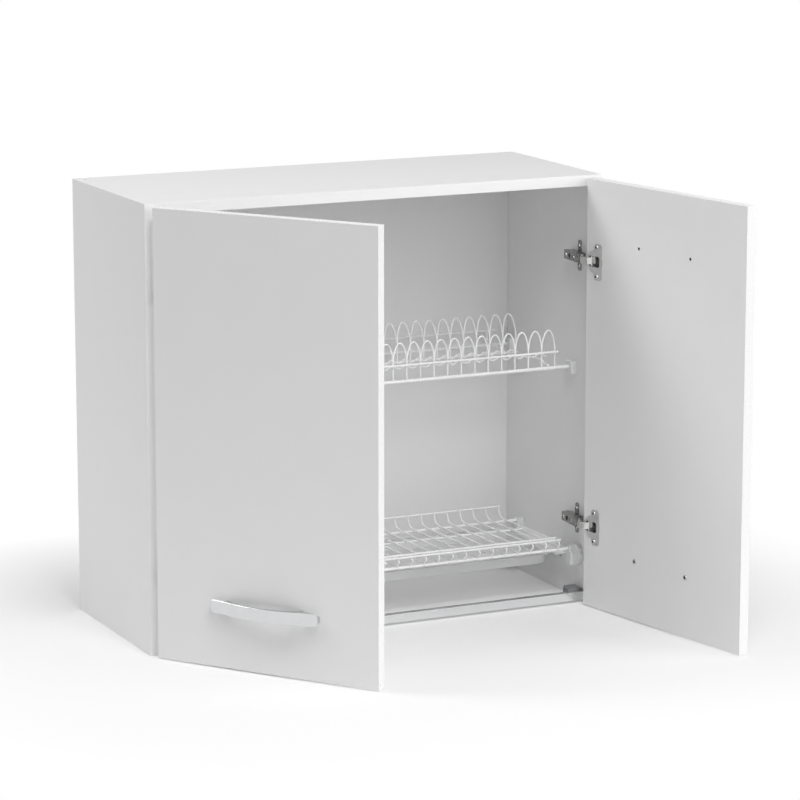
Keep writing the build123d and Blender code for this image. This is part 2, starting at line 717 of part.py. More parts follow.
def hinge_link():
    """The curved channel link that carries the cup round the edge of the door."""
    tip = LINK_LENGTH + CUP_EYE_RADIUS
    start = on_link(*LINK_SHOULDER)
    middle = on_link(LINK_LENGTH / 2, LINK_ARCH)
    end = on_link(tip, LINK_NOSE_RISE)
    crown, crown_inside = sheet_arc(start, middle, end, LINK_SHEET)
    cup_eye = eye_points((LINK_LENGTH, 0), CUP_EYE_RADIUS, 0, -HALF_TURN)
    neck = (LINK_LENGTH - CUP_EYE_RADIUS, CUP_EYE_NECK)
    arm_eye = eye_points((0, 0), ARM_EYE_RADIUS, ARM_EYE_START, ARM_EYE_START - HALF_TURN)
    hollow_side = [on_link(*point) for point in (*cup_eye, neck, *LINK_THROAT, *arm_eye)]
    beyond = (tip + PAST, -tip), (-tip, -tip), (-tip, LINK_SHOULDER[1] / 2)
    half = LINK_HEIGHT / 2
    inside = half - LINK_SHEET
    link = flat_block(crown + hollow_side, (-half, half))
    link -= flat_block(crown_inside + [on_link(*point) for point in beyond], (-inside, inside))
    link -= upright_bore(ARM_PIVOT, ARM_PIN_RADIUS + PIVOT_PLAY / 2, LINK_HEIGHT + PAST)
    link -= upright_bore(CUP_PIVOT, CUP_PIN_RADIUS + PIVOT_PLAY / 2, LINK_HEIGHT + PAST)
    return link


def door_block(along, depth, z_range):
    """A box on the closed door between two places along it, two depths and two levels."""
    near = on_door(along[0], depth[0])
    far = on_door(along[1], depth[1])
    return block((near[0], far[0]), (near[1], far[1]), z_range)


def cup_round(radius, depth):
    """A round boss of the hinge cup, between two depths in the door, with flats."""
    return prism(CUP_SIDES, radius, (*on_door(CUP_MIDDLE, depth[0]), 0), (*on_door(CUP_MIDDLE, depth[1]), 0))


def door_plate(corners, depth):
    """A plate with an outline of places along the closed door and levels, between two depths."""
    face = Plane.XZ * Polygon(*[(on_door(along, 0)[0], level) for along, level in corners], align=None)
    plate = extrude(face, amount=depth[1] - depth[0], dir=(0, -1, 0))
    return Pos(0, on_door(0, depth[0])[1], 0) * plate


def chamfered(start, end, half, corner):
    """Corners of an upright rectangle on the door with its corners cut off."""
    right = [(end - corner, half), (end, half - corner), (end, corner - half), (end - corner, -half)]
    left = [(start + corner, -half), (start, corner - half), (start, half - corner), (start + corner, half)]
    return right + left


def hinge_cup():
    """The cup pressed into the door, its screwed flange and the mouth that the link works in."""
    over = -FLANGE_SHEET - PAST
    cup = cup_round(CUP_RADIUS, (0, CUP_DEPTH))
    flange = chamfered(FLANGE_IN, FLANGE_OUT, FLANGE_HEIGHT / 2, FLANGE_CORNER)
    cup += door_plate(flange, (-FLANGE_SHEET, 0))
    cup += cup_round(CUP_RADIUS + FLANGE_LIP, (-FLANGE_SHEET, 0))
    mouth = chamfered(MOUTH_START, MOUTH_END, MOUTH_HEIGHT / 2, MOUTH_CORNER)
    cup -= door_plate(mouth, (over, CUP_DEPTH - CUP_WALL))
    notch_half = LINK_HEIGHT / 2 + PAST
    cup -= door_block((0, MOUTH_START + PAST), (over, MOUTH_NOTCH), (-notch_half, notch_half))
    cup -= upright_bore(CUP_PIVOT, CUP_PIN_RADIUS + FIT_PLAY / 2, 2 * (CUP_PIN_REACH + FIT_PLAY))
    for end in (-1, 1):
        x, y = on_door(FLANGE_SCREW_IN, over)
        cup -= pilot((x, y, end * FLANGE_SCREW_PITCH / 2), (0, -1, 0))
    return cup


# Doors, built closed on the left


def door_panel():
    """The left door with its hinge bores, pilot holes and two pairs of handle holes."""
    door = door_block((0, DOOR_WIDTH), (0, DOOR_THICKNESS), (DOOR_BOTTOM_Z, DOOR_BOTTOM_Z + DOOR_HEIGHT))
    bore = cup_round(CUP_RADIUS + CUP_PLAY, (-PAST, CUP_DEPTH + CUP_PLAY))
    for cut in at_each_hinge(bore):
        door -= cut
    for seat in flange_screw_seats():
        door -= pilot(seat, (0, -1, 0))
    for seat in handle_screw_seats(DOOR_HEIGHT - HANDLE_FROM_END):
        door -= Pos(*seat) * bar_along(HEAD_SIDES, SPARE_HOLE_RADIUS, SPARE_HOLE_DEPTH, (0, -1, 0))
    for seat in handle_screw_seats(HANDLE_FROM_END):
        door -= pilot(seat, (0, -1, 0), DOOR_THICKNESS, HANDLE_SCREW_RADIUS)
    return door


def handle():
    """The bow handle: two flat pads on the door and a strap that arches between them."""
    half = HANDLE_LENGTH / 2
    pad_end = half - HANDLE_PAD
    shoulder = pad_end - HANDLE_SHOULDER
    rise = HANDLE_STANDOFF - HANDLE_ARCH_RISE
    inner_shoulder = shoulder - HANDLE_THICKNESS
    inner_rise = rise - HANDLE_THICKNESS
    inner_top = HANDLE_STANDOFF - HANDLE_THICKNESS
    outer = ThreePointArc((-shoulder, rise), (0, HANDLE_STANDOFF), (shoulder, rise))
    inner = ThreePointArc((-inner_shoulder, inner_rise), (0, inner_top), (inner_shoulder, inner_rise))
    right = Polyline(
        (shoulder, rise),
        (pad_end, HANDLE_THICKNESS),
        (pad_end + 2 * HANDLE_TOE, HANDLE_PAD_THICKNESS),
        (half - HANDLE_TOE, HANDLE_TOE),
        (half, 0),
        (pad_end - HANDLE_SHOULDER / 2, 0),
        (inner_shoulder, inner_rise),
    )
    face = make_face(outer + right + inner + mirror(right, about=Plane.YZ))
    strap = extrude(face, amount=HANDLE_HEIGHT / 2, both=True)
    outer_face = on_door(HANDLE_MIDDLE, DOOR_THICKNESS)
    strap = Pos(*outer_face, DOOR_BOTTOM_Z + HANDLE_FROM_END) * mirror(strap, about=Plane.XZ)
    for x, _, z in handle_screw_seats(HANDLE_FROM_END):
        seat = (x, outer_face[1] + PAST, z)
        strap -= pilot(seat, (0, -1, 0), HANDLE_SCREW_BITE, HANDLE_SCREW_RADIUS)
    return strap


def handle_screws():
    """Two machine screws through the door into the handle."""
    length = DOOR_THICKNESS + HANDLE_SCREW_BITE - HANDLE_SCREW_END_PLAY
    seats = handle_screw_seats(HANDLE_FROM_END)
    return [screw(seat, (0, -1, 0), length, HANDLE_SCREW_RADIUS, HANDLE_SCREW_HEAD_RADIUS) for seat in seats]


def flange_screws():
    """Screws that hold the hinge cups to the door."""
    return [screw((x, y + FLANGE_SHEET, z), (0, -1, 0)) for x, y, z in flange_screw_seats()]


# Wire racks


def ribbon(points, width):
    """Corners of a band of even width along a path of points, mitred at its bends."""
    left = []
    right = []
    count = len(points)
    for index, point in enumerate(points):
        before = points[max(index - 1, 0)]
        after = points[min(index + 1, count - 1)]
        normals = []
        for start, end in ((before, point), (point, after)):
            length = math.dist(start, end)
            if length > 0:
                normals.append(((start[1] - end[1]) / length, (end[0] - start[0]) / length))
        sum_x = sum(normal[0] for normal in normals)
        sum_y = sum(normal[1] for normal in normals)
        scale = width * len(normals) / 2 / (sum_x**2 + sum_y**2)
        left.append((point[0] + sum_x * scale, point[1] + sum_y * scale))
        right.append((point[0] - sum_x * scale, point[1] - sum_y * scale))
    return left + right[::-1]


def wire_across(points, setback, width=WIRE):
    """A square wire bent in an upright plane that faces the front. Points are X and height."""
    corners = [(x, above(height)) for x, height in ribbon(points, width)]
    face = Plane.XZ * Polygon(*corners, align=None)
    return Pos(0, behind(setback) - width / 2, 0) * extrude(face, amount=width, dir=(0, 1, 0))


def wire_front_to_back(points, x, width=WIRE):
    """A square wire bent in an upright plane that faces the side. Points are setback and height."""
    corners = [(behind(setback), above(height)) for setback, height in ribbon(points, width)]
    face = Plane.YZ * Polygon(*corners, align=None)
    return Pos(x - width / 2, 0, 0) * extrude(face, amount=width, dir=(1, 0, 0))


def rod_across(radius, half_length, setback, height):
    """A straight rod from side to side, with more flats if it is a thick one."""
    y = behind(setback)
    z = above(height)
    sides = THIN_ROD_SIDES if radius <= THIN_ROD_RADIUS else THICK_ROD_SIDES
    return prism(sides, radius, (-half_length, y, z), (half_length, y, z))


def loop_places():
    """X of the middle of each plate loop."""
    first = -WIRE_PITCH * (LOOP_COUNT - 1) / 2
    return [first + WIRE_PITCH * index for index in range(LOOP_COUNT)]


def wire_places():
    """X of each cross wire of the cup rack, one more than the loops."""
    first = -WIRE_PITCH * LOOP_COUNT / 2
    return [first + WIRE_PITCH * index for index in range(LOOP_COUNT + 1)]


def plate_loop(foot, neck, top, setback):
    """One arched loop: two upright legs and a half-oval crown."""
    half = WIRE_PITCH / 2 - WIRE / 2 - TOUCH
    rise = top - WIRE / 2 - neck
    angles = [math.pi * step / CROWN_STEPS for step in range(CROWN_STEPS + 1)]
    crown = [(-half * math.cos(angle), neck + rise * math.sin(angle)) for angle in angles]
    return wire_across([(-half, foot)] + crown + [(half, foot)], setback)


def plate_loops(foot, neck, top, setback):
    """A row of loops, each beside the next."""
    loop = plate_loop(foot, neck, top, setback)
    return [Pos(x, 0, 0) * loop for x in loop_places()]


def seat_wire(setback, height):
    """A wire that waves up and down, so that a plate's rim settles in each dip."""
    low = height - SEAT_WAVE / 2
    high = height + SEAT_WAVE / 2
    points = [(-RACK_HALF, low)]
    for x in loop_places():
        points.append((x, high))
        points.append((x + WIRE_PITCH / 2, low))
    return wire_across(points, setback)


def under_seat(seat_rise):
    """Height of the middle of the cross bars where they carry a wavy wire."""
    return PLATE_RACK_LEVEL + seat_rise - SEAT_WAVE / 2 - WIRE / 2 - CROSS_BAR / 2 - SEAT_TOUCH


def rear_stem_rod():
    """Setback and height of the thin rod that stands on the cross bars behind the rear loops."""
    setback = REAR_LOOP_SETBACK + WIRE / 2 + THIN_ROD_RADIUS + TOUCH
    return setback, under_seat(REAR_SEAT_RISE) + CROSS_BAR / 2 + THIN_ROD_RADIUS + TOUCH


def plate_rack_rods():
    """The long rods of the plate rack and the bars that tie them together."""
    (_, front_height), (_, rear_height) = clip_places()
    upper_height = PLATE_RACK_LEVEL + UPPER_ROD_RISE
    upper_setback = FRONT_LOOP_SETBACK - WIRE / 2 - THIN_ROD_RADIUS - TOUCH
    half = RACK_HALF + ROD_OVERHANG
    rods = [
        rod_across(THICK_ROD_RADIUS, CRADLE_ROD_END, FRONT_LOOP_SETBACK, front_height),
        rod_across(THIN_ROD_RADIUS, half, upper_setback, upper_height),
        rod_across(THICK_ROD_RADIUS, CRADLE_ROD_END, REAR_ROD_SETBACK, rear_height),
        rod_across(THIN_ROD_RADIUS, half, REAR_ROD_SETBACK, upper_height),
        rod_across(THIN_ROD_RADIUS, half, *rear_stem_rod()),
    ]
    half_bar = CROSS_BAR / 2
    front_rest = front_height + THICK_ROD_RADIUS + half_bar + TOUCH
    rear_rest = rear_height + THICK_ROD_RADIUS + half_bar + TOUCH
    front_start = FRONT_LOOP_SETBACK + WIRE / 2 + TOUCH
    turn_up = REAR_ROD_SETBACK + THIN_ROD_RADIUS + half_bar + TOUCH
    path = [
        (front_start, front_rest),
        (FRONT_SEAT_SETBACK - 2 * BAR_LANDING, front_rest),
        (FRONT_SEAT_SETBACK - BAR_LANDING / 2, under_seat(FRONT_SEAT_RISE)),
        (FRONT_SEAT_SETBACK + BAR_LANDING / 2, under_seat(FRONT_SEAT_RISE)),
        (REAR_SEAT_SETBACK - BAR_LANDING, under_seat(REAR_SEAT_RISE)),
        (rear_stem_rod()[0] + BAR_LANDING / 2, under_seat(REAR_SEAT_RISE)),
        (REAR_ROD_SETBACK - BAR_LANDING, rear_rest),
        (turn_up, rear_rest),
        (turn_up, upper_height),
    ]
    for x in CROSS_BAR_PLACES:
        rods.append(wire_front_to_back(path, x, CROSS_BAR))
    return rods


def cup_rack_floor(setback):
    """Height of the middle of the cross wires at a setback."""
    share = (setback - CUP_RACK_FRONT) / (CUP_RACK_REAR - CUP_RACK_FRONT)
    return CUP_RACK_FLOOR_FRONT + share * (CUP_RACK_FLOOR_REAR - CUP_RACK_FLOOR_FRONT)


def cup_rack_wire():
    """One cross wire: up at the back, along the sloping floor, and down and back under the front."""
    lip = CUP_RACK_FLOOR_FRONT - CUP_RACK_LIP_DROP
    path = [
        (CUP_RACK_BACK_REST, CUP_RACK_BACK_TOP),
        (CUP_RACK_REAR, CUP_RACK_FLOOR_REAR),
        (CUP_RACK_FRONT, CUP_RACK_FLOOR_FRONT),
        (CUP_RACK_FRONT - CUP_RACK_NOSE, lip),
        (CUP_RACK_LIP_RETURN, lip),
    ]
    return wire_front_to_back(path, 0)


def cup_rack_wires():
    """The row of cross wires."""
    wire = cup_rack_wire()
    return [Pos(x, 0, 0) * wire for x in wire_places()]


def carry_rod_height():
    """Height of the thick rod under the front lip of the cup rack."""
    lip = CUP_RACK_FLOOR_FRONT - CUP_RACK_LIP_DROP
    return lip - WIRE / 2 - CUP_RACK_CARRY_RADIUS - TOUCH


def heel_rod_height():
    """Height of the thick rod under the rear of the cup rack's floor."""
    return cup_rack_floor(CUP_RACK_HEEL_SETBACK) - WIRE / 2 - CUP_RACK_CARRY_RADIUS - 2 * TOUCH


def cup_rack_rods():
    """The long rods of the cup rack."""
    on_top = WIRE / 2 + THIN_ROD_RADIUS + 2 * TOUCH
    half = RACK_HALF + ROD_OVERHANG
    back_height = CUP_RACK_BACK_TOP - CUP_RACK_BACK_ROD_DROP
    places = [
        (CUP_RACK_GUARD_SETBACK, cup_rack_floor(CUP_RACK_GUARD_SETBACK) + on_top),
        (CUP_RACK_EDGE_SETBACK, cup_rack_floor(CUP_RACK_EDGE_SETBACK) + on_top),
        (CUP_RACK_MIDDLE_SETBACK, cup_rack_floor(CUP_RACK_MIDDLE_SETBACK) - on_top),
        (CUP_RACK_BACK_REST + on_top, back_height),
    ]
    carriers = [rod_across(CUP_RACK_CARRY_RADIUS, CRADLE_ROD_END, *place) for place in cradle_places()]
    return carriers + [rod_across(THIN_ROD_RADIUS, half, *place) for place in places]


def rack_clip(setback, height):
    """A small open-topped clip on the left side that a rod of the plate rack drops into."""
    y = behind(setback)
    z = above(height)
    x_range = (-INNER_X, -INNER_X + CLIP_THICKNESS)
    z_range = (z - CLIP_BELOW_ROD, z + CLIP_ABOVE_ROD)
    clip = block(x_range, (y - CLIP_DEPTH / 2, y + CLIP_DEPTH / 2), z_range)
    clip -= open_slot(THICK_ROD_RADIUS + CRADLE_PLAY, CLIP_THICKNESS, y, z, z_range[1])
    peg = Pos(-INNER_X, y, z) * bar_along(SHANK_SIDES, SCREW_RADIUS - FIT_PLAY, CLIP_PEG, (-1, 0, 0))
    return clip + peg


def open_slot(half, thickness, y, z, top):
    """A slot with a round bottom that a rod drops into, open towards the cabinet and upwards."""
    x_range = (-INNER_X + CLIP_WALL, -INNER_X + thickness + PAST)
    corner = clear_radius(half, THICK_ROD_SIDES)
    bottom = prism(THICK_ROD_SIDES, corner, (x_range[0], y, z), (x_range[1], y, z))
    return bottom + block(x_range, (y - half, y + half), (z, top + PAST))


def support_boss(radius, setback, height):
    """A round end cap of the support, on the side panel."""
    y = behind(setback)
    z = above(height)
    return prism(BOSS_SIDES, radius, (-INNER_X, y, z), (-INNER_X + FRONT_BOSS_THICKNESS, y, z))


def rack_support():
    """The left support: a rail with a ledge for the tray, two bosses and two open-topped cradles."""
    rail_x = (-INNER_X, -INNER_X + RAIL_THICKNESS)
    support = block(rail_x, (behind(RAIL_FRONT), behind(RAIL_REAR)), (above(RAIL_BOTTOM), above(RAIL_TOP)))
    support += support_boss(FRONT_BOSS_RADIUS, FRONT_BOSS_SETBACK, RAIL_BOTTOM + FRONT_BOSS_RADIUS)
    support += support_boss(REAR_BOSS_RADIUS, RAIL_REAR, RAIL_TOP)
    half = CUP_RACK_CARRY_RADIUS + CRADLE_PLAY
    for setback, height in cradle_places():
        y = behind(setback)
        reach = half + CRADLE_WALL
        z_range = (above(RAIL_TOP) - CRADLE_ROOT, above(height) + CRADLE_RISE)
        support += block(rail_x, (y - reach, y + reach), z_range)
    slot_top = above(max(RAIL_BOTTOM + 2 * FRONT_BOSS_RADIUS, heel_rod_height() + CRADLE_RISE))
    for setback, height in cradle_places():
        support -= open_slot(half, RAIL_THICKNESS, behind(setback), above(height), slot_top)
    ledge_x = (rail_x[1], -TRAY_LENGTH / 2 - TRAY_RIM + LEDGE_OVERLAP)
    ledge_top = tray_rim_bottom() - TRAY_SEAT_PLAY
    ledge_z = (ledge_top - LEDGE_SHEET, ledge_top)
    support += block(ledge_x, (behind(TRAY_SETBACK), behind(RAIL_REAR)), ledge_z)
    for x, y, z in support_screw_seats():
        recess = bar_along(HEAD_SIDES, SUPPORT_RECESS_RADIUS, RAIL_THICKNESS, (1, 0, 0))
        support -= Pos(x + SUPPORT_SCREW_LAND, y, z) * recess
        support -= pilot((x + SUPPORT_SCREW_LAND + PAST, y, z), (-1, 0, 0))
    return support


def cradle_places():
    """Rod setback and height for the front and the rear cradles of the cup rack."""
    return (
        (CUP_RACK_CARRY_SETBACK, carry_rod_height()),
        (CUP_RACK_HEEL_SETBACK, heel_rod_height()),
    )


def tray_rim_bottom():
    """Z of the underside of the tray's rim."""
    return above(RAIL_TOP) - TRAY_TOP_DROP - TRAY_WALL


def tray_outline(grow):
    """The tray's plan outline with its rounded corners, grown all round."""
    middle_x = TRAY_LENGTH / 2 - TRAY_CORNER
    middle_y = TRAY_WIDTH / 2 - TRAY_CORNER
    points = []
    for corner, (side_x, side_y) in enumerate(((1, 1), (-1, 1), (-1, -1), (1, -1))):
        for step in range(CORNER_STEPS + 1):
            angle = math.radians(90 * (corner + step / CORNER_STEPS))
            reach_x = (TRAY_CORNER + grow) * math.cos(angle)
            reach_y = (TRAY_CORNER + grow) * math.sin(angle)
            points.append((side_x * middle_x + reach_x, side_y * middle_y + reach_y))
    return Polygon(*points, align=None)


def drip_tray():
    """The shallow tray with drafted walls and a rim that rests on the ledges."""
    top = tray_rim_bottom() + TRAY_WALL
    middle_y = behind(TRAY_SETBACK + TRAY_WIDTH / 2)
    pan = extrude(tray_outline(0), amount=-TRAY_DEPTH, taper=TRAY_DRAFT)
    hollow = extrude(tray_outline(-TRAY_WALL), amount=TRAY_WALL - TRAY_DEPTH, taper=TRAY_DRAFT)
    rim = Pos(0, 0, -TRAY_WALL) * extrude(tray_outline(TRAY_RIM), amount=TRAY_WALL)
    tray = pan + rim - hollow
    return Pos(0, middle_y, top) * tray


# Writing the pieces


def write(name, shapes):
    """One file for a piece, or for a group of like pieces."""
    shape = shapes if not isinstance(shapes, list) else Compound(children=shapes)
    export_step(shape, f"parts/{name}.step")


def write_pair(name, shapes):
    """A left-hand piece or group and its right-hand twin."""
    shapes = shapes if isinstance(shapes, list) else [shapes]
    write(f"left_{name}", shapes)
    write(f"right_{name}", [mirror_left_to_right(shape) for shape in shapes])


def write_posed_pair(name, shapes, left_location, right_location):
    """A group that moves with a link or a door, at the left and at the right rest pose."""
    write(f"left_{name}", [left_location * shape for shape in shapes])
    write(f"right_{name}", [mirror_left_to_right(right_location * shape) for shape in shapes])


def write_carcass():
    """Panels, dowels, wall brackets and base."""
    write_pair("side_panel", side_panel())
    write("top_panel", top_panel())
    write("panel_dowels", dowels())
    write("back_panel", back_panel())
    write_pair("hanging_bracket", hanging_bracket())
    write_pair("hanging_bracket_screws", side_screws(hanger_screw_seats(), HANGER_SHEET))
    write("front_base_bar", base_bar(True))
    write("rear_base_bar", base_bar(False))
    write_pair("front_base_bracket", base_bracket(True))
    write_pair("rear_base_bracket", base_bracket(False))
    screws = side_screws(bracket_screw_seats(), BRACKET_WALL)
    write("base_bracket_screws", screws + [mirror_left_to_right(one) for one in screws])


def write_hinges():
    """Fixed and moving hinge pieces of both doors."""
    left_link = link_pose(LEFT_LINK_TURN)
    right_link = link_pose(RIGHT_LINK_TURN)
    left_door = door_pose(LEFT_DOOR_OPEN, LEFT_LINK_TURN)
    right_door = door_pose(RIGHT_DOOR_OPEN, RIGHT_LINK_TURN)
    write_pair("hinge_plates", at_each_hinge(hinge_plate()))
    write_pair("hinge_plate_screws", side_screws(plate_screw_seats(), PLATE_SHEET))
    write_pair("hinge_arms", at_each_hinge(hinge_arm()))
    arm_screw_set = [Pos(0, 0, z) * one for z in HINGE_HEIGHTS for one in arm_screws()]
    write_pair("hinge_arm_screws", arm_screw_set)
    arm_pin = upright_pin(ARM_PIVOT, ARM_PIN_RADIUS, ARM_HEIGHT)
    write_pair("hinge_arm_pins", at_each_hinge(arm_pin))
    write_posed_pair("hinge_links", at_each_hinge(hinge_link()), left_link, right_link)
    cup_pin = upright_pin(CUP_PIVOT, CUP_PIN_RADIUS, 2 * CUP_PIN_REACH)
    write_posed_pair("hinge_cups", at_each_hinge(hinge_cup()), left_door, right_door)
    write_posed_pair("hinge_cup_pins", at_each_hinge(cup_pin), left_door, right_door)
    write_posed_pair("hinge_cup_screws", flange_screws(), left_door, right_door)
    write_posed_pair("door_panel", [door_panel()], left_door, right_door)
    write_posed_pair("handle", [handle()], left_door, right_door)
    write_posed_pair("handle_screws", handle_screws(), left_door, right_door)


def write_racks():
    """Plate rack, cup rack, drip tray and what carries them."""
    clips = [rack_clip(setback, height) for setback, height in clip_places()]
    write("plate_rack_clips", clips + [mirror_left_to_right(one) for one in clips])
    write_pair("rack_support", rack_support())
    screws = side_screws(support_screw_seats(), SUPPORT_SCREW_LAND)
    write("rack_support_screws", screws + [mirror_left_to_right(one) for one in screws])
    write("plate_rack_rods", plate_rack_rods())
    front_foot = PLATE_RACK_LEVEL + THICK_ROD_RADIUS + TOUCH
    front_neck = front_foot + FRONT_LOOP_LEG
    front = plate_loops(front_foot, front_neck, front_neck + FRONT_LOOP_CROWN, FRONT_LOOP_SETBACK)
    write("plate_rack_front_loops", front)
    rear_foot = rear_stem_rod()[1] - THIN_ROD_RADIUS
    rear_neck = rear_foot + REAR_LOOP_LEG
    rear = plate_loops(rear_foot, rear_neck, rear_neck + REAR_LOOP_CROWN, REAR_LOOP_SETBACK)
    write("plate_rack_rear_loops", rear)
    front_seat = seat_wire(FRONT_SEAT_SETBACK, PLATE_RACK_LEVEL + FRONT_SEAT_RISE)
    rear_seat = seat_wire(REAR_SEAT_SETBACK, PLATE_RACK_LEVEL + REAR_SEAT_RISE)
    write("plate_rack_seat_wires", [front_seat, rear_seat])
    write("cup_rack_rods", cup_rack_rods())
    write("cup_rack_wires", cup_rack_wires())
    write("drip_tray", drip_tray())


os.makedirs("parts", exist_ok=True)
write_carcass()
write_hinges()
write_racks()
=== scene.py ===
# %% [markdown]
# A dish drainer cabinet hangs over the sink. Two doors hide a plate rack, a cup rack and a drip tray,
# and the cabinet has no floor, so that the racks air from below. The measured model is loaded first
# and is never moved. It calls each of its pieces a node, the nodes that move together a body, and the
# material that a node asks for a slot. Everything made here is a finish, or a finer copy of a node in
# that node's own place.

# %% Load the measured model
import json
import math

import bmesh
import bpy
from mathutils import Matrix, Vector


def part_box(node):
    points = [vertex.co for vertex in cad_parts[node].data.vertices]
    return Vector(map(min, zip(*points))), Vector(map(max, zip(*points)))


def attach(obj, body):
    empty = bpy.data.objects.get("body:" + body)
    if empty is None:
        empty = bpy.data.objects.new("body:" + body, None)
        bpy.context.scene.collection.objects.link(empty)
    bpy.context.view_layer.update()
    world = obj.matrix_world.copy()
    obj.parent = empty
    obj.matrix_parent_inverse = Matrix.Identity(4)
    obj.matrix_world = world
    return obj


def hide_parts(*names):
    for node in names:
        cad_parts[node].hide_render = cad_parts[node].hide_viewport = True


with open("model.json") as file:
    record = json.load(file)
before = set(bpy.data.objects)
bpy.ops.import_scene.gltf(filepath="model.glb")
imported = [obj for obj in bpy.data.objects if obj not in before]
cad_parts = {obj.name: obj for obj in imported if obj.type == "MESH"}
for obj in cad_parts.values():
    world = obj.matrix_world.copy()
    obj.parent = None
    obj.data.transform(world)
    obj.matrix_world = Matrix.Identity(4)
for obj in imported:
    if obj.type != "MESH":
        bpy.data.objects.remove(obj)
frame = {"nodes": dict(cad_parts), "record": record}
NODES = frame["nodes"]
BODIES = frame["record"]["behaviour"]["bodies"]
BODY_OF = {node: body for body, nodes in BODIES.items() for node in nodes}
SLOT_OF = {entry["node"]: entry["material_slot"] for entry in frame["record"]["subparts"]}
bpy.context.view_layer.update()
MM = 0.001

# %% [markdown]
# The cabinet was photographed from the front left and a little above, with a long lens, so that its
# upright edges stay nearly parallel. A camera could be moved by eye until the outlines agree. Here its
# place, its turn and its lens come from a fit to the corners of the cabinet and its doors, which
# settles all of them at once.

# %% Camera
PHOTO_WIDTH = 800
FOCAL_PIXELS = 3519.373
SENSOR = 36.0
EYE = (-2344.245 * MM, -5336.791 * MM, 812.654 * MM)
YAW = 25.377
PITCH = 11.38

camera_data = bpy.data.cameras.new("photo_camera")
camera_data.sensor_width = SENSOR
camera_data.lens = FOCAL_PIXELS * SENSOR / PHOTO_WIDTH
camera = bpy.data.objects.new("photo_camera", camera_data)
camera.location = EYE
camera.rotation_euler = (math.radians(90 - PITCH), 0, math.radians(-YAW))
bpy.context.scene.collection.objects.link(camera)
bpy.context.scene.camera = camera
print("lens", round(camera_data.lens, 1), "mm")

# %% [markdown]
# Every finish below is a small tree of nodes. A photograph of the material could be wrapped round the
# piece instead, but it has seams and one size, while a pattern made by nodes fills space in real
# millimetres. Colours are picked as the eye sees them, and one function turns them into the linear
# values that shaders use. Another adds a node with its settings and links.


# %% Colour and node helpers
def linear(code):
    """An sRGB hex colour as the linear values that shaders use."""
    values = [int(code[place:place + 2], 16) / 255 for place in (1, 3, 5)]
    return tuple(v / 12.92 if v <= 0.04045 else ((v + 0.055) / 1.055) ** 2.4 for v in values) + (1.0,)


def add_node(tree, kind, links=None, **settings):
    """A node with its settings, and its inputs set to values or linked to sockets."""
    node = tree.nodes.new(kind)
    for name, value in settings.items():
        setattr(node, name, value)
    for name, value in (links or {}).items():
        if isinstance(value, bpy.types.NodeSocket):
            tree.links.new(value, node.inputs[name])
        else:
            node.inputs[name].default_value = value
    return node


def pattern_scale(size):
    """The scale of a texture on Object coordinates whose features are this many millimetres."""
    return 1 / (size * MM)


def new_finish(name, **sockets):
    """A material with plain values on its shader: it, its tree, its shader, its Object coordinates."""
    material = bpy.data.materials.new(name)
    material.use_nodes = True
    tree = material.node_tree
    shader = tree.nodes["Principled BSDF"]
    for socket, value in sockets.items():
        shader.inputs[socket.replace("_", " ")].default_value = value
    place = add_node(tree, "ShaderNodeTexCoord").outputs["Object"]
    return material, tree, shader, place


FINISH = {}

# %% [markdown]
# A real surface shows its pattern in several ways at once: where a coat lies thick it is paler, shinier
# and higher. So one function lets a pattern run colour, roughness and fine height together. Another
# paints over the faces that carry a mark, such as a cut edge or a screw's recess. Separate materials
# for those faces would do too, but a mark keeps one piece to one material.

# %% Patterns and marks on a surface
NOISE_LOW = 0.35  # Nearly all of a noise lies between these two values
NOISE_HIGH = 0.65


def vary(tree, shader, pattern, colours=None, roughness=None, relief=None, bold=False):
    """Runs a surface's colour and roughness between two values with a pattern.

    A bold pattern reaches both colours. Relief is a depth in millimetres and a strength.
    """
    middle = {"Value": pattern, "From Min": NOISE_LOW, "From Max": NOISE_HIGH}
    if colours:
        factor = add_node(tree, "ShaderNodeMapRange", middle).outputs["Result"] if bold else pattern
        low, high = [linear(code) for code in colours]
        mix = add_node(tree, "ShaderNodeMix", {"Factor": factor, "A": low, "B": high}, data_type="RGBA")
        tree.links.new(mix.outputs["Result"], shader.inputs["Base Color"])
    if roughness:
        ends = {"To Min": roughness[0], "To Max": roughness[1]}
        matt = add_node(tree, "ShaderNodeMapRange", middle | ends)
        tree.links.new(matt.outputs["Result"], shader.inputs["Roughness"])
    if relief:
        depth, strength = relief
        heights = {"Height": pattern, "Distance": depth * MM, "Strength": strength}
        bump = add_node(tree, "ShaderNodeBump", heights)
        tree.links.new(bump.outputs["Normal"], shader.inputs["Normal"])


def paint_marked(tree, shader, mark, colour):
    """Paints the faces whose attribute is 1 over the colour that the surface has, and gives the mark."""
    marked = add_node(tree, "ShaderNodeAttribute", attribute_name=mark,
                      attribute_type="GEOMETRY").outputs["Fac"]
    below = shader.inputs["Base Color"].links[0].from_socket
    over = {"Factor": marked, "A": below, "B": linear(colour)}
    mix = add_node(tree, "ShaderNodeMix", over, data_type="RGBA")
    tree.links.new(mix.outputs["Result"], shader.inputs["Base Color"])
    return marked


# %% [markdown]
# The boards are chipboard faced with white melamine: printed paper soaked in resin and pressed against
# a steel plate with a fine pearl texture. It gives the eye a soft, broad shine, and the very faint
# clouds of the paper. The doors' cut edges carry a band of white ABS plastic, which is smoother; its
# colour is a touch brighter as a painted highlight on the doors' edges. A drilled hole shows the brown
# chips inside, in a dark brown that carries painted shade. The boards tell these apart by two marks on
# their faces: band is 1 on a door's edges, and core is 1 in a hole.

# %% White melamine with its edge band
PEARL_SIZE = 2.2  # The real pearl is 0.4 mm across, too fine to show, so it is drawn coarser
PAPER_CLOUD = 70.0
BAND_GLOSS = 0.12  # How much less rough the band is

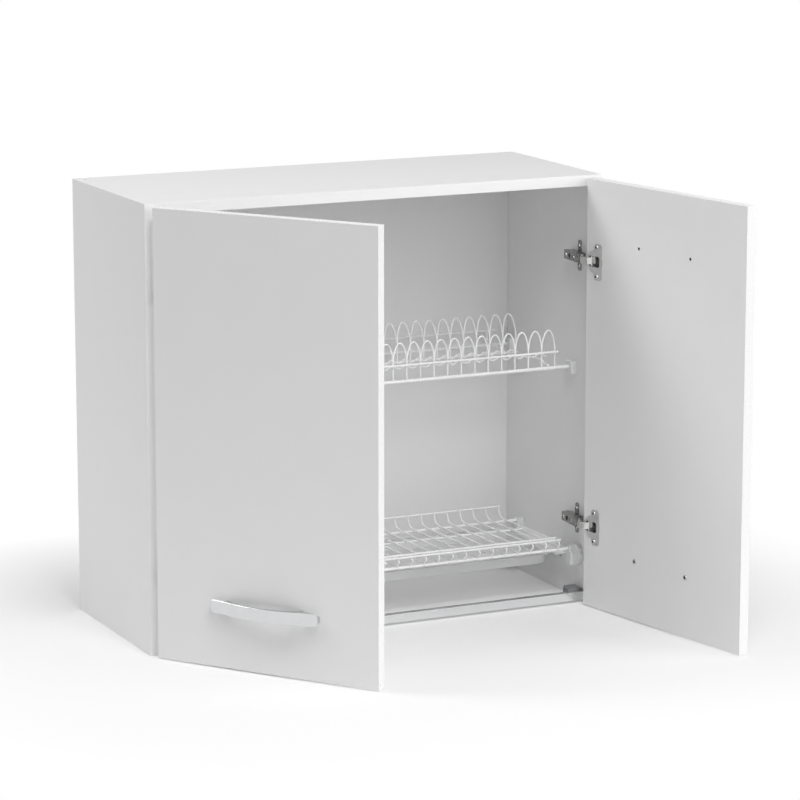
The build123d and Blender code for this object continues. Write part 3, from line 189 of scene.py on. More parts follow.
white_melamine, tree, shader, place = new_finish("white_melamine_pearl", IOR=1.5)
cloud = add_node(tree, "ShaderNodeTexNoise", {
    "Vector": place, "Scale": pattern_scale(PAPER_CLOUD), "Detail": 3}).outputs["Fac"]
pearl = add_node(tree, "ShaderNodeTexNoise", {
    "Vector": place, "Scale": pattern_scale(PEARL_SIZE), "Detail": 1}).outputs["Fac"]
vary(tree, shader, cloud, ("#eeeeee", "#efefef"), bold=True)
vary(tree, shader, pearl, roughness=(0.38, 0.46), relief=(0.01, 0.2))
# A door's band is a touch brighter than the paper: a painted highlight on its edges.
band = paint_marked(tree, shader, "band", "#f0f0f0")
# The core's dark brown is the chips' colour with the hole's shade painted in.
paint_marked(tree, shader, "core", "#3d3226")
matt = shader.inputs["Roughness"].links[0].from_socket
smoother = add_node(tree, "ShaderNodeMath", {0: band, 1: -BAND_GLOSS, 2: matt}, operation="MULTIPLY_ADD")
tree.links.new(smoother.outputs[0], shader.inputs["Roughness"])
FINISH["white_laminate"] = white_melamine
print("boards", white_melamine.name)

# %% [markdown]
# The back is hardboard with white lacquer rolled on, so it is flatter in shine than the boards, with a
# trace of fibre. A noise that is squeezed to be taller than wide stands for the fibre.

# %% Lacquered hardboard
FIBRE_SIZE = 5.0  # Real fibres are 0.5 mm wide, so they are drawn coarser
FIBRE_UPRIGHT = 0.35

lacquered_hardboard, tree, shader, place = new_finish("white_lacquered_hardboard", IOR=1.5)
upright = add_node(tree, "ShaderNodeMapping", {"Vector": place, "Scale": (1.0, 1.0, FIBRE_UPRIGHT)})
fibre = add_node(tree, "ShaderNodeTexNoise", {
    "Vector": upright.outputs["Vector"], "Scale": pattern_scale(FIBRE_SIZE), "Detail": 5}).outputs["Fac"]
vary(tree, shader, fibre, ("#ececec", "#ededed"), (0.5, 0.6), (0.01, 0.15), bold=True)
FINISH["white_back_board"] = lacquered_hardboard
print("back", lacquered_hardboard.name)

# %% [markdown]
# The drawn cups, the links, the pins and the screws of the hinges are steel plated with bright nickel,
# which mirrors the room with a faint haze. The arms and plates were tumbled before plating, so they
# are duller and darker. The hanging brackets and all other screws are plated with zinc, which leaves
# soft patches. The punched recess of a screw is painted dark grey as its shade: a mark on its faces,
# recess, is 1 there.

# %% Nickel and zinc
HAZE_SIZE = 9.0
PATCH_SIZE = 6.0
# A dark grey painted into a screw's recess as its shade
RECESS_SHADE = "#2e2e2e"

nickel, tree, shader, place = new_finish("bright_nickel_on_steel", Metallic=1.0)
haze = add_node(tree, "ShaderNodeTexNoise", {
    "Vector": place, "Scale": pattern_scale(HAZE_SIZE), "Detail": 4}).outputs["Fac"]
vary(tree, shader, haze, ("#c6c6c5", "#d8d8d7"), (0.14, 0.24))
paint_marked(tree, shader, "recess", RECESS_SHADE)
FINISH["nickel_plated_steel"] = nickel

tumbled_nickel, tree, shader, place = new_finish("tumbled_nickel_on_steel", Metallic=1.0)
haze = add_node(tree, "ShaderNodeTexNoise", {
    "Vector": place, "Scale": pattern_scale(PATCH_SIZE), "Detail": 4}).outputs["Fac"]
vary(tree, shader, haze, ("#8a8a89", "#9f9f9e"), (0.22, 0.34))

zinc, tree, shader, place = new_finish("blue_zinc_on_steel", Metallic=1.0)
patch = add_node(tree, "ShaderNodeTexVoronoi", {
    "Vector": place, "Scale": pattern_scale(PATCH_SIZE)}).outputs["Distance"]
vary(tree, shader, patch, ("#b8bbbe", "#cbcdd0"), (0.3, 0.42))
paint_marked(tree, shader, "recess", RECESS_SHADE)
FINISH["zinc_plated_steel"] = zinc
print("plated", nickel.name, tumbled_nickel.name, zinc.name)

# %% [markdown]
# The handles are cast in zinc, polished and plated with chrome, which is the clearest mirror here. The
# base bars are aluminium, brushed along their length and anodised, so that a highlight spreads across
# the lines. The lines come from a noise that is stretched along the bar.

# %% Chrome and brushed aluminium
FILM_SIZE = 18.0
BRUSH_LINE = 1.6  # Real brush lines are 0.1 mm apart, so they are drawn coarser to show at all
BRUSH_LENGTH = 60.0

chrome, tree, shader, place = new_finish("mirror_chrome", Metallic=1.0)
film = add_node(tree, "ShaderNodeTexNoise", {
    "Vector": place, "Scale": pattern_scale(FILM_SIZE), "Detail": 3}).outputs["Fac"]
vary(tree, shader, film, ("#d2d3d4", "#dadbdc"), (0.05, 0.09))
FINISH["polished_chrome"] = chrome

brushed_aluminium, tree, shader, place = new_finish("brushed_anodised_aluminium", Metallic=1.0)
stretch = (BRUSH_LINE / BRUSH_LENGTH, 1, 1)
along = add_node(tree, "ShaderNodeMapping", {"Vector": place, "Scale": stretch})
brush = add_node(tree, "ShaderNodeTexNoise", {
    "Vector": along.outputs["Vector"], "Scale": pattern_scale(BRUSH_LINE), "Detail": 2}).outputs["Fac"]
vary(tree, shader, brush, ("#e4e5e6", "#f0f1f1"), (0.12, 0.2), (0.02, 0.3))
FINISH["anodised_aluminium"] = brushed_aluminium
print("bright metals", chrome.name, brushed_aluminium.name)

# %% [markdown]
# The supports and clips are moulded in natural polypropylene, which is milky: light goes a few
# millimetres in and comes out softened. The tray is polystyrene pressed from a clear sheet with a fine
# matt face, so that what lies behind it shows only as soft tones. The corner brackets are grey ABS
# from a mould with a spark-worn, matt face. Each could be one flat colour, but the eye would miss the
# slow waves that melted plastic leaves.

# %% Moulded and pressed plastics
MOULD_FLOW = 12.0
SHEET_FLOW = 36.0
SPARK_SIZE = 1.5  # A real spark-worn face has 0.05 mm pits, drawn coarser
LIGHT_DEPTH = 3.0 * MM

milky, tree, shader, place = new_finish(
    "natural_polypropylene", IOR=1.49, Subsurface_Weight=0.6, Subsurface_Radius=(1.0, 1.0, 1.0),
    Subsurface_Scale=LIGHT_DEPTH)
flow = add_node(tree, "ShaderNodeTexNoise", {
    "Vector": place, "Scale": pattern_scale(MOULD_FLOW), "Detail": 3}).outputs["Fac"]
vary(tree, shader, flow, ("#e2e3e2", "#ebecec"), (0.3, 0.4))
FINISH["milky_plastic"] = milky

clear_tray, tree, shader, place = new_finish("clear_polystyrene", IOR=1.59, Transmission_Weight=0.4)
flow = add_node(tree, "ShaderNodeTexNoise", {
    "Vector": place, "Scale": pattern_scale(SHEET_FLOW), "Detail": 2}).outputs["Fac"]
vary(tree, shader, flow, ("#f2f3f3", "#f9f9f9"), (0.36, 0.46))
FINISH["clear_tray_plastic"] = clear_tray

grey_abs, tree, shader, place = new_finish("grey_abs_spark_worn", IOR=1.53)
spark = add_node(tree, "ShaderNodeTexNoise", {
    "Vector": place, "Scale": pattern_scale(SPARK_SIZE), "Detail": 2}).outputs["Fac"]
vary(tree, shader, spark, ("#7b7c7e", "#87888a"), (0.45, 0.58), (0.05, 0.3))
FINISH["grey_plastic"] = grey_abs
print("plastics", milky.name, clear_tray.name, grey_abs.name)

# %% [markdown]
# The wires of both racks are dipped in white epoxy powder that melts to a smooth skin with a faint
# orange-peel wave. The dowels that join the top to the sides are turned from beech, and their grain
# runs along them.

# %% Coated wire and beech
PEEL_SIZE = 3.0
GRAIN_WIDTH = 1.2
GRAIN_LENGTH = 25.0

epoxy, tree, shader, place = new_finish("white_epoxy_powder_coat", IOR=1.52)
peel = add_node(tree, "ShaderNodeTexNoise", {
    "Vector": place, "Scale": pattern_scale(PEEL_SIZE), "Detail": 2}).outputs["Fac"]
vary(tree, shader, peel, ("#f8f8f8", "#fcfcfc"), (0.22, 0.3), (0.04, 0.3))
FINISH["white_coated_wire"] = epoxy

beech, tree, shader, place = new_finish("turned_beech", IOR=1.5)
stretch = (GRAIN_WIDTH / GRAIN_LENGTH, 1, 1)
along = add_node(tree, "ShaderNodeMapping", {"Vector": place, "Scale": stretch})
grain = add_node(tree, "ShaderNodeTexNoise", {
    "Vector": along.outputs["Vector"], "Scale": pattern_scale(GRAIN_WIDTH), "Detail": 4}).outputs["Fac"]
vary(tree, shader, grain, ("#b98f5f", "#d4b284"), (0.5, 0.65), bold=True)
FINISH["beech_dowel"] = beech
print("wire and wood", epoxy.name, beech.name)

# %% [markdown]
# Every node asks for one of these finishes by its slot. The hinges' arms and plates share a slot with
# the bright cups, so they are told apart by their names. Nodes without a finer copy, such as the back,
# the dowels and the pins, keep their own shape and need no more than this.


# %% Finishes on the measured model
def finish_of(node):
    """A node's finish: its slot's, but a hinge's arms and plates are tumbled."""
    tumbled = node.endswith(("hinge_arms", "hinge_plates"))
    return tumbled_nickel if tumbled else FINISH[SLOT_OF[node]]


for node in SLOT_OF:
    NODES[node].data.materials.clear()
    NODES[node].data.materials.append(finish_of(node))
print("finishes", sorted(FINISH))

# %% [markdown]
# Most pieces only need what a computer model leaves out: edges that catch the light. They could be
# modelled again by hand, but a copy of the node keeps its sizes. Its loose triangles are merged into
# whole faces, and when it is finished it stands for the node and moves with its body.

# %% Copies of nodes
SAME_POINT = 0.002 * MM
SAME_FACE = math.radians(1)
SIDES = ("left", "right")


def mesh_object(name, mesh):
    """A mesh as an object at the origin."""
    piece = bpy.data.objects.new(name, mesh)
    bpy.context.scene.collection.objects.link(piece)
    return piece


def merged_shape(node):
    """A bmesh of a node with its triangles merged into flat faces."""
    shape = bmesh.new()
    shape.from_mesh(NODES[node].data)
    bmesh.ops.remove_doubles(shape, verts=shape.verts, dist=SAME_POINT)
    bmesh.ops.dissolve_limit(shape, angle_limit=SAME_FACE, verts=shape.verts, edges=shape.edges)
    return shape


def plain_mesh(name, shape):
    """A new mesh with a bmesh's points and faces and nothing else."""
    shape.verts.index_update()
    mesh = bpy.data.meshes.new(name)
    points = [vertex.co[:] for vertex in shape.verts]
    mesh.from_pydata(points, [], [[vertex.index for vertex in face.verts] for face in shape.faces])
    shape.free()
    return mesh


def frozen(piece):
    """The piece with its mesh as its modifiers leave it, and no modifiers."""
    bpy.context.view_layer.update()
    finished = piece.evaluated_get(bpy.context.evaluated_depsgraph_get())
    mesh = bpy.data.meshes.new_from_object(finished)
    piece.modifiers.clear()
    piece.data = mesh
    return piece


def dress(piece, node):
    """The piece stands for a node, moves with its body and takes its finish."""
    piece.data.materials.clear()
    piece.data.materials.append(finish_of(node))
    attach(piece, BODY_OF[node])
    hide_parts(node)
    return piece


# %% [markdown]
# A sharp edge is rounded by the width that its real making leaves, from a quarter of a millimetre on
# pressed steel to 0.8 mm on an edge band. Edges could be picked one by one, but a bevel that takes all
# edges over an angle misses none.

# %% Soft-edged pieces
EDGE_SEGMENTS = 2
SHARP = 35
PAIRED_EDGES = {  # Millimetres, on the left and the right piece alike
    "hanging_bracket": 0.3,
    "hinge_plates": 0.3,
    "hinge_arms": 0.35,
    "hinge_links": 0.3,
    "hinge_cups": 0.25,
    "rack_support": 0.6,
    "front_base_bracket": 0.6,
    "rear_base_bracket": 0.6,
}
SOFT_EDGES = {f"{side}_{name}": width for name, width in PAIRED_EDGES.items() for side in SIDES}
SOFT_EDGES |= {"plate_rack_clips": 0.5, "front_base_bar": 0.25, "rear_base_bar": 0.25, "drip_tray": 0.5}


def soften(piece, width, sharp=SHARP):
    """Rounds every edge that is sharper than an angle, and keeps the flats flat to the eye."""
    piece.data.shade_smooth()
    bevel = piece.modifiers.new("soft_edges", "BEVEL")
    bevel.width = width * MM
    bevel.segments = EDGE_SEGMENTS
    bevel.limit_method = "ANGLE"
    bevel.angle_limit = math.radians(sharp)
    bevel.harden_normals = True
    bevel.miter_outer = "MITER_SHARP"
    return frozen(piece)


for node, width in SOFT_EDGES.items():
    dress(soften(mesh_object(node + "_softened", plain_mesh(node, merged_shape(node))), width), node)
print("softened", len(SOFT_EDGES), "pieces")

# %% [markdown]
# The boards are cut square, so their edges have a small radius of under a millimetre, which a bevel
# gives. Each face is then marked for the melamine: as a banded edge, as the bare core in a hole, or as
# neither. Painting the marks by hand would work, but a rule holds for every board: a face well inside
# the board's box is in a hole, and a face that looks along the board is on its edge.

# %% Boards
BAND_RADIUS = 0.8
INSIDE = 0.9 * MM
EDGE_FACING = 0.7  # A face that looks less than this along the board's thickness is on its edge


def corners(places):
    """The lowest and the highest corner of the box round some points."""
    return [Vector([limit(place[i] for place in places) for i in range(3)]) for limit in (min, max)]


def mark_faces(piece, across, banded=1.0):
    """Marks a board's faces: its edges as banded or not, and the inside of its holes as core."""
    mesh = piece.data
    upright = Vector((0, 0, 1))
    turn = Matrix.Identity(3) if across.z else Matrix([across.cross(upright), upright, across])
    low, high = corners([turn @ vertex.co for vertex in mesh.vertices])
    band = mesh.attributes.new("band", "FLOAT", "FACE")
    core = mesh.attributes.new("core", "FLOAT", "FACE")
    for polygon in mesh.polygons:
        centre = turn @ polygon.center
        inside = all(low[i] + INSIDE < centre[i] < high[i] - INSIDE for i in range(3))
        on_edge = not inside and abs(polygon.normal.dot(across)) < EDGE_FACING
        core.data[polygon.index].value = 1.0 if inside else 0.0
        band.data[polygon.index].value = banded if on_edge else 0.0


ACROSS = {"left_side_panel": (1, 0, 0), "right_side_panel": (1, 0, 0), "top_panel": (0, 0, 1)}
for node, across in ACROSS.items():
    board = soften(mesh_object(node + "_board", plain_mesh(node, merged_shape(node))), BAND_RADIUS)
    mark_faces(board, Vector(across), banded=0.0)
    dress(board, node)
print("carcass boards", len(ACROSS))

# %% [markdown]
# A door on concealed hinges doesn't swing about one pin. Its link turns on a pin in the arm, which is
# fixed to the cabinet, and the door turns on another pin in its cup. So a door is made closed, on the
# left, and then turned about both pins to where it stands in the photograph. Its place could be typed
# as one turn and one shift, but two turns keep to the sizes of the hinge. The right door is the left
# one mirrored, with its own turns.

# %% Where the doors hang
HALF_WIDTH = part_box("right_side_panel")[1].x
FRONT_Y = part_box("left_side_panel")[0].y
BOTTOM_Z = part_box("left_side_panel")[0].z
ARM_PIN = Vector((-HALF_WIDTH + 34.3 * MM, FRONT_Y + 2.2 * MM, 0))
CUP_PIN = Vector((-HALF_WIDTH + 11.5 * MM, FRONT_Y - 5.0 * MM, 0))
TURNS = {"left": (54.1, 45.0), "right": (99.94, 56.7)}  # The door's and its link's, in degrees


def turn_about(point, angle):
    """A turn about an upright axis through a point, anticlockwise seen from above."""
    turn = Matrix.Rotation(math.radians(angle), 4, "Z")
    return Matrix.Translation(point) @ turn @ Matrix.Translation(-point)


def door_place(side):
    """Where a piece of the closed left door goes on the door of that side."""
    opened, link_turn = TURNS[side]
    turned = turn_about(ARM_PIN, link_turn) @ turn_about(CUP_PIN, -opened - link_turn)
    return turned if side == "left" else Matrix.Scale(-1, 4, (1, 0, 0)) @ turned


def hang(shape, side):
    """Moves a bmesh from the closed left door to the door of that side, facing outwards."""
    shape.transform(door_place(side))
    if side == "right":
        bmesh.ops.reverse_faces(shape, faces=shape.faces)
    return shape


INNER_FACE = {side: (door_place(side).to_3x3() @ Vector((0, 1, 0))).normalized() for side in SIDES}
print("inner faces look", {side: [round(value, 2) for value in INNER_FACE[side]] for side in SIDES})

# %% [markdown]
# Each door has four holes in its inner face: a bore for each hinge cup and, at the other end from the
# handle, a pair of spare holes that lets the door be hung on either side. In the workshop a drill
# makes them, and here a round cutter does, because a true hole has an edge that catches the light.

# %% Doors
DOOR_GAP = 1.5 * MM
DOOR_LOW = Vector((-HALF_WIDTH + DOOR_GAP, FRONT_Y - 20.0 * MM, -678.0 * MM))
DOOR_HIGH = Vector((-DOOR_GAP, FRONT_Y - 2.0 * MM, 37.0 * MM))
DOOR_MIDDLE = (DOOR_LOW.x + DOOR_HIGH.x) / 2
HINGE_LEVELS = (-542.0 * MM, -98.0 * MM)
CUP_MIDDLE_X = DOOR_LOW.x + 22.5 * MM
CUP_BORE = (17.6 * MM, 11.6 * MM)  # Radius and depth
SCREW_HALF_PITCH = 64.0 * MM
HANDLE_INSET = 99.5 * MM
SPARE_HOLE = (2.5 * MM, 13.0 * MM)
DRILL_SIDES = 32
DRILL_START = 2 * MM


def cuboid(low, high):
    """A bmesh box between two corners."""
    shape = bmesh.new()
    bmesh.ops.create_cube(shape, size=1)
    for vertex in shape.verts:
        vertex.co = [low[i] if vertex.co[i] < 0 else high[i] for i in range(3)]
    return shape


def lathe(profile, segments):
    """A bmesh turned round the Z axis from a profile of radius and height, closed at both ends."""
    shape = bmesh.new()
    rings = []
    for radius, height in profile:
        angles = [2 * math.pi * step / segments for step in range(segments)]
        points = [(radius * math.cos(angle), radius * math.sin(angle), height) for angle in angles]
        rings.append([shape.verts.new(point) for point in points])
    for low, high in zip(rings, rings[1:]):
        for step in range(segments):
            following = (step + 1) % segments
            shape.faces.new((low[step], low[following], high[following], high[step]))
    shape.faces.new(rings[0][::-1])
    shape.faces.new(rings[-1])
    return shape


def cut(piece, cutters):
    """Takes the cutters' shapes out of a piece and throws the cutters away."""
    for cutter in cutters:
        difference = piece.modifiers.new("cut", "BOOLEAN")
        difference.operation = "DIFFERENCE"
        difference.solver = "EXACT"
        difference.object = cutter
    frozen(piece)
    for cutter in cutters:
        bpy.data.objects.remove(cutter)


def drill(x, z, radius, depth):
    """A drill into the inner face of the closed left door."""
    tool = lathe([(radius, -depth), (radius, DRILL_START)], DRILL_SIDES)
    turn = Matrix.Rotation(math.radians(-90), 4, "X")
    tool.transform(Matrix.Translation((x, DOOR_HIGH.y, z)) @ turn)
    return tool


HOLES = [(CUP_MIDDLE_X, level, *CUP_BORE) for level in HINGE_LEVELS]
for end in (-1, 1):
    HOLES.append((DOOR_MIDDLE + end * SCREW_HALF_PITCH, DOOR_HIGH.z - HANDLE_INSET, *SPARE_HOLE))
for side in SIDES:
    node = side + "_door_panel"
    door = mesh_object(node + "_board", plain_mesh(node, hang(cuboid(DOOR_LOW, DOOR_HIGH), side)))
    soften(door, BAND_RADIUS)
    cut(door, [mesh_object("drill", plain_mesh("drill", hang(drill(*hole), side))) for hole in HOLES])
    mark_faces(door, INNER_FACE[side])
    dress(door, node)
    off = (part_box(node)[0] - Vector(door.bound_box[0])).length / MM
    print(node, "stands off its measured place by", round(off, 3), "mm")

# %% [markdown]
# The handle is a strap cast in zinc, polished and chromed. It stands on the door with a solid foot at
# both ends and bows away between them, so that fingers pass behind. A box could be bent, but the strap
# changes thickness, so its outline seen from above is drawn with a smooth curve, in millimetres.

# %% Outline of the bow handle
HANDLE_HALF = 96.0
STANDOFF = 24.5
STRAP = 5.0
OUTER_GUIDES = [(-HANDLE_HALF, 0.0), (-HANDLE_HALF, 5.0), (-HANDLE_HALF, 9.4), (-92, 9.8), (-86, 10.4),
                (-70, 12.8), (-52, 18.2), (-34, 22.6), (-17, STANDOFF), (0, STANDOFF)]
INNER_GUIDES = [(0, STANDOFF - STRAP), (-17, STANDOFF - STRAP), (-36, 17.0), (-50, 12.0), (-60, 6.0),
                (-64, 1.0), (-66, 0.0)]
OUTER_STEPS = 5
INNER_STEPS = 4


def smooth_line(points, steps):
    """Points on a smooth curve that a few guiding points draw towards them."""
    spline_data = bpy.data.curves.new("guide", "CURVE")
    spline = spline_data.splines.new("NURBS")
    spline.points.add(len(points) - 1)
    for point, (across, out) in zip(spline.points, points):
        point.co = (across, out, 0, 1)
    spline.order_u = 4
    spline.use_endpoint_u = True
    spline.resolution_u = steps
    guide = bpy.data.objects.new("guide", spline_data)
    line = bpy.data.meshes.new_from_object(guide)
    places = [(vertex.co.x, vertex.co.y) for vertex in line.vertices]
    bpy.data.objects.remove(guide)
    return places


outer = smooth_line(OUTER_GUIDES, OUTER_STEPS)
inner = smooth_line(INNER_GUIDES, INNER_STEPS)
BOW_OUTLINE = outer + [(-across, out) for across, out in reversed(outer[:-1])]
BOW_OUTLINE += [(-across, out) for across, out in reversed(inner)] + inner[1:]
print("handle outline", len(BOW_OUTLINE), "points, in millimetres along the door and out from it")

# %% [markdown]
# The outline is given the strap's height, which shrinks towards the ends to round their corners. The
# long edges are rounded too, so that each shows a thin line of the room.

# %% Bow handles
HANDLE_HEIGHT = 21.0 * MM
HANDLE_Z = DOOR_LOW.z + HANDLE_INSET
END_ROUND = 6.0
STRAP_EDGE = 0.7
STRAP_SHARP = 60


def strap_shape():
    """The strap on the closed left door: its outline raised to its height, lower towards its ends."""
    shape = bmesh.new()
    rims = []
    for end in (-1, 1):
        rim = []
        for across, out in BOW_OUTLINE:
            past = max(0.0, abs(across) - HANDLE_HALF + END_ROUND) / END_ROUND
            lost = END_ROUND * MM * (1 - math.sqrt(1 - min(past, 1.0) ** 2))
            z = HANDLE_Z + end * (HANDLE_HEIGHT / 2 - lost)
            rim.append(shape.verts.new((DOOR_MIDDLE + across * MM, DOOR_LOW.y - out * MM, z)))
        rims.append(rim)
    low, high = rims
    for step in range(len(low)):
        following = (step + 1) % len(low)
        shape.faces.new((low[step], low[following], high[following], high[step]))
    shape.faces.new(low[::-1])
    shape.faces.new(high)
    bmesh.ops.recalc_face_normals(shape, faces=shape.faces)
    return shape


for side in SIDES:
    node = side + "_handle"
    bow = mesh_object(node + "_bow", plain_mesh(node, hang(strap_shape(), side)))
    dress(soften(bow, STRAP_EDGE, STRAP_SHARP), node)
    print(node, len(bow.data.polygons), "faces")

# %% [markdown]
# Both racks are bent and welded from round wire, so one Geometry Nodes tree makes them all: it takes
# lines from a curve object, rounds their bends, sweeps a circle along them, and repeats the result at
# an even pitch. Each line carries its own wire's radius. Every wire could be modelled by hand, but a
# change of pitch or wire then needs more than one number.

# %% Wirework tree
BEND_STEPS = 4


def new_tree(name, output, **inputs):
    """An empty Geometry Nodes tree with named inputs, and the sockets that give them."""
    tree = bpy.data.node_groups.new(name, "GeometryNodeTree")
    for label, kind in inputs.items():
        label = label.replace("_", " ")
        tree.interface.new_socket(label, in_out="INPUT", socket_type="NodeSocket" + kind)
    tree.interface.new_socket(output, in_out="OUTPUT", socket_type="NodeSocketGeometry")
    return tree, add_node(tree, "NodeGroupInput").outputs


def close_tree(tree, output, instances, finish):
    """Ends a tree: its instances made real, and painted."""
    real = add_node(tree, "GeometryNodeRealizeInstances", {"Geometry": instances}).outputs["Geometry"]
    painted = add_node(tree, "GeometryNodeSetMaterial", {"Geometry": real, "Material": finish})
    add_node(tree, "NodeGroupOutput", {output: painted.outputs["Geometry"]})


def wirework_tree():
    """Lines to tubes with rounded bends, repeated at a pitch from left to right."""
    tree, given = new_tree("wirework", "Wirework", Lines="Object", Bend_radius="Float", Sides="Int",
                           Count="Int", Pitch="Float", Finish="Material")
    lines = add_node(tree, "GeometryNodeObjectInfo", {"Object": given["Lines"]}).outputs["Geometry"]
    bent = add_node(tree, "GeometryNodeFilletCurve", {
        "Curve": lines, "Radius": given["Bend radius"], "Count": BEND_STEPS, "Limit Radius": True},
        mode="POLY")
    circle = add_node(tree, "GeometryNodeCurvePrimitiveCircle", {
        "Resolution": given["Sides"], "Radius": 1.0})
    tubes = add_node(tree, "GeometryNodeCurveToMesh", {
        "Curve": bent.outputs["Curve"], "Profile Curve": circle.outputs["Curve"],
        "Scale": add_node(tree, "GeometryNodeInputRadius").outputs[0], "Fill Caps": True})
    start_x = given["Count"]  # Less one, times the pitch, halved and to the left
    for operation, value in (("SUBTRACT", 1.0), ("MULTIPLY", given["Pitch"]), ("MULTIPLY", -0.5)):
        result = add_node(tree, "ShaderNodeMath", {0: start_x, 1: value}, operation=operation)
        start_x = result.outputs[0]
    start, step = [add_node(tree, "ShaderNodeCombineXYZ", {"X": x}).outputs[0]
                   for x in (start_x, given["Pitch"])]
    row = add_node(tree, "GeometryNodeMeshLine", {
        "Count": given["Count"], "Start Location": start, "Offset": step})
    copies = add_node(tree, "GeometryNodeInstanceOnPoints", {
        "Points": row.outputs["Mesh"], "Instance": tubes.outputs["Mesh"]})
    close_tree(tree, "Wirework", copies.outputs["Instances"], given["Finish"])
    return tree


WIREWORK = wirework_tree()
print("wirework tree", len(WIREWORK.nodes), "nodes")

# %% [markdown]
# A tree does nothing until a modifier runs it on a piece. The modifier's inputs are set first, and the
# result is then kept as a plain mesh, because a live tree would be lost when the model is handed on.
# The cut end of a real wire is rounded by its coating, so each line is thinner at its two ends.

# %% Wires through the tree
END_SHARES = ((0.0, 0.5), (0.3, 0.86), (0.8, 1.0))  # Way in from the cut and thickness, in wire radii
WIRE_CREASE = 50


def through_nodes(piece, tree, crease, **inputs):
    """Makes the piece by a Geometry Nodes tree, smooth but for creases sharper than an angle."""
    nodes = piece.modifiers.new("nodes", "NODES")
    nodes.node_group = tree
    items = [item for item in tree.interface.items_tree if item.in_out == "INPUT"]
    sockets = {item.name: item.identifier for item in items}
    for label, value in inputs.items():
        nodes[sockets[label.replace("_", " ")]] = value
    frozen(piece)
    piece.data.shade_smooth()
    piece.data.set_sharp_from_angle(angle=math.radians(crease))


def rounded_ends(radius, points):
    """A wire's line and its thickness along it, with its two cut ends drawn in."""
    into = (points[1] - points[0]).normalized() * radius
    back = (points[-2] - points[-1]).normalized() * radius
    line = [(points[0] + into * way, share) for way, share in END_SHARES]
    line += [(point, 1.0) for point in points[1:-1]]
    line += [(points[-1] + back * way, share) for way, share in reversed(END_SHARES)]
    return [(point, share * radius) for point, share in line]


def wire_lines(name, wires):
    """A curve object with one line for each wire, from its radius and its points."""
    data = bpy.data.curves.new(name, "CURVE")
    data.dimensions = "3D"
    for radius, points in wires:
        line = rounded_ends(radius, points)
        spline = data.splines.new("POLY")
        spline.points.add(len(line) - 1)
        for target, (point, thickness) in zip(spline.points, line):
            target.co = (*point, 1)
            target.radius = thickness
    return mesh_object(name, data)


def wirework(name, wires, node, bend, sides, count=1, pitch=0.0):
    """A finished rack piece of the given wires, which stands for a node."""
    lines = wire_lines(name + "_lines", wires)
    piece = mesh_object(name, bpy.data.meshes.new(name))
    through_nodes(piece, WIREWORK, WIRE_CREASE, Lines=lines, Bend_radius=bend * MM, Sides=sides,
                  Count=count, Pitch=pitch, Finish=finish_of(node))
    bpy.data.objects.remove(lines)
    dress(piece, node)
    print(name, len(piece.data.polygons), "faces")


# %% [markdown]
# The plate rack's loops are slim arches. Each runs from its neighbour's leg, where it is welded, over
# its crown and down its own leg, so one wire's shape repeats along the row and only the first needs a
# leg more. The front row is lower than the rear one, which leans back a little. The nodes give the
# place and the height of each row.

# %% Plate rack loops
WIRE_RADIUS = 1.3 * MM  # The 2.2 mm wire with its skin of epoxy
LOOP_COUNT = 28
CROWN_STEPS = 14
CROWNS = {"front": (38.0, 0.0), "rear": (44.0, 5.0)}  # Height and backward lean, in millimetres
RACK_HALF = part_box("plate_rack_front_loops")[1].x - WIRE_RADIUS
pitch = 2 * RACK_HALF / LOOP_COUNT


def arch(node, crown, lean):
    """The middle line of one loop: a half-oval crown of a height that leans back, and its right leg."""
    low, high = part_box(node)
    top = high.z - WIRE_RADIUS
    neck = top - crown * MM
    y = (low.y + high.y) / 2
    line = []
    for step in range(CROWN_STEPS + 1):
        angle = math.pi * step / CROWN_STEPS
        rise = math.sin(angle)
        x = -pitch / 2 * math.cos(angle)
        line.append(Vector((x, y + lean * MM * rise * rise, neck + (top - neck) * rise)))
    return line + [Vector((pitch / 2, y, low.z))]


first_legs = []
for row, (crown, lean) in CROWNS.items():
    node = f"plate_rack_{row}_loops"
    line = arch(node, crown, lean)
    wirework(f"plate_rack_{row}_arches", [(WIRE_RADIUS, line)], node, 2.0, 10, LOOP_COUNT, pitch)
    to_first = Vector((-RACK_HALF - pitch / 2, 0, 0))
    first_legs.append((WIRE_RADIUS, [line[-1] + to_first, line[-2] + to_first]))
print("pitch", round(pitch / MM, 2), "mm")

# %% [markdown]
# Wavy wires behind each row let the rim of a plate settle, one dip for each loop. A node can hold
# several solids, so a helper sorts its points into separate ones. The middle and the height of each
# measured wire give the line and the swing of a finer wave.

# %% Wavy seats
WAVE_STEPS = 10


def loose_solids(node):
    """The lowest corner, the highest corner and the points of each separate solid of a node."""
    shape = merged_shape(node)
    known = set()
    solids = []
    for start in shape.verts:
        if start in known:
            continue
        known.add(start)
        found = [start]
        for vertex in found:
            for edge in vertex.link_edges:
                other = edge.other_vert(vertex)
                if other not in known:
                    known.add(other)
                    found.append(other)
        places = [vertex.co.copy() for vertex in found]
        solids.append((*corners(places), places))
    shape.free()
    return sorted(solids, key=lambda solid: tuple(solid[0]))


seats = []
for low, high, _ in loose_solids("plate_rack_seat_wires"):
    middle = (low + high) / 2
    swing = (high.z - low.z) / 2 - WIRE_RADIUS
    wave = []
    for step in range(LOOP_COUNT * WAVE_STEPS + 1):
        z = middle.z - swing * math.cos(2 * math.pi * step / WAVE_STEPS)
        wave.append(Vector((-RACK_HALF + pitch * step / WAVE_STEPS, middle.y, z)))
    seats.append((WIRE_RADIUS, wave))
wirework("plate_rack_wavy_seats", seats, "plate_rack_seat_wires", 0.5, 8)

# %% [markdown]
# Long rods tie the loops together from side to side, and thicker bars cross under them from front to
# back, with a step down between the rods. All are welded to one frame, so they are one piece. The
# rods are straight, so the node gives their ends and thickness. The bars are bent, so their line is
# typed: way back from the cabinet's front and height over its bottom, in millimetres.

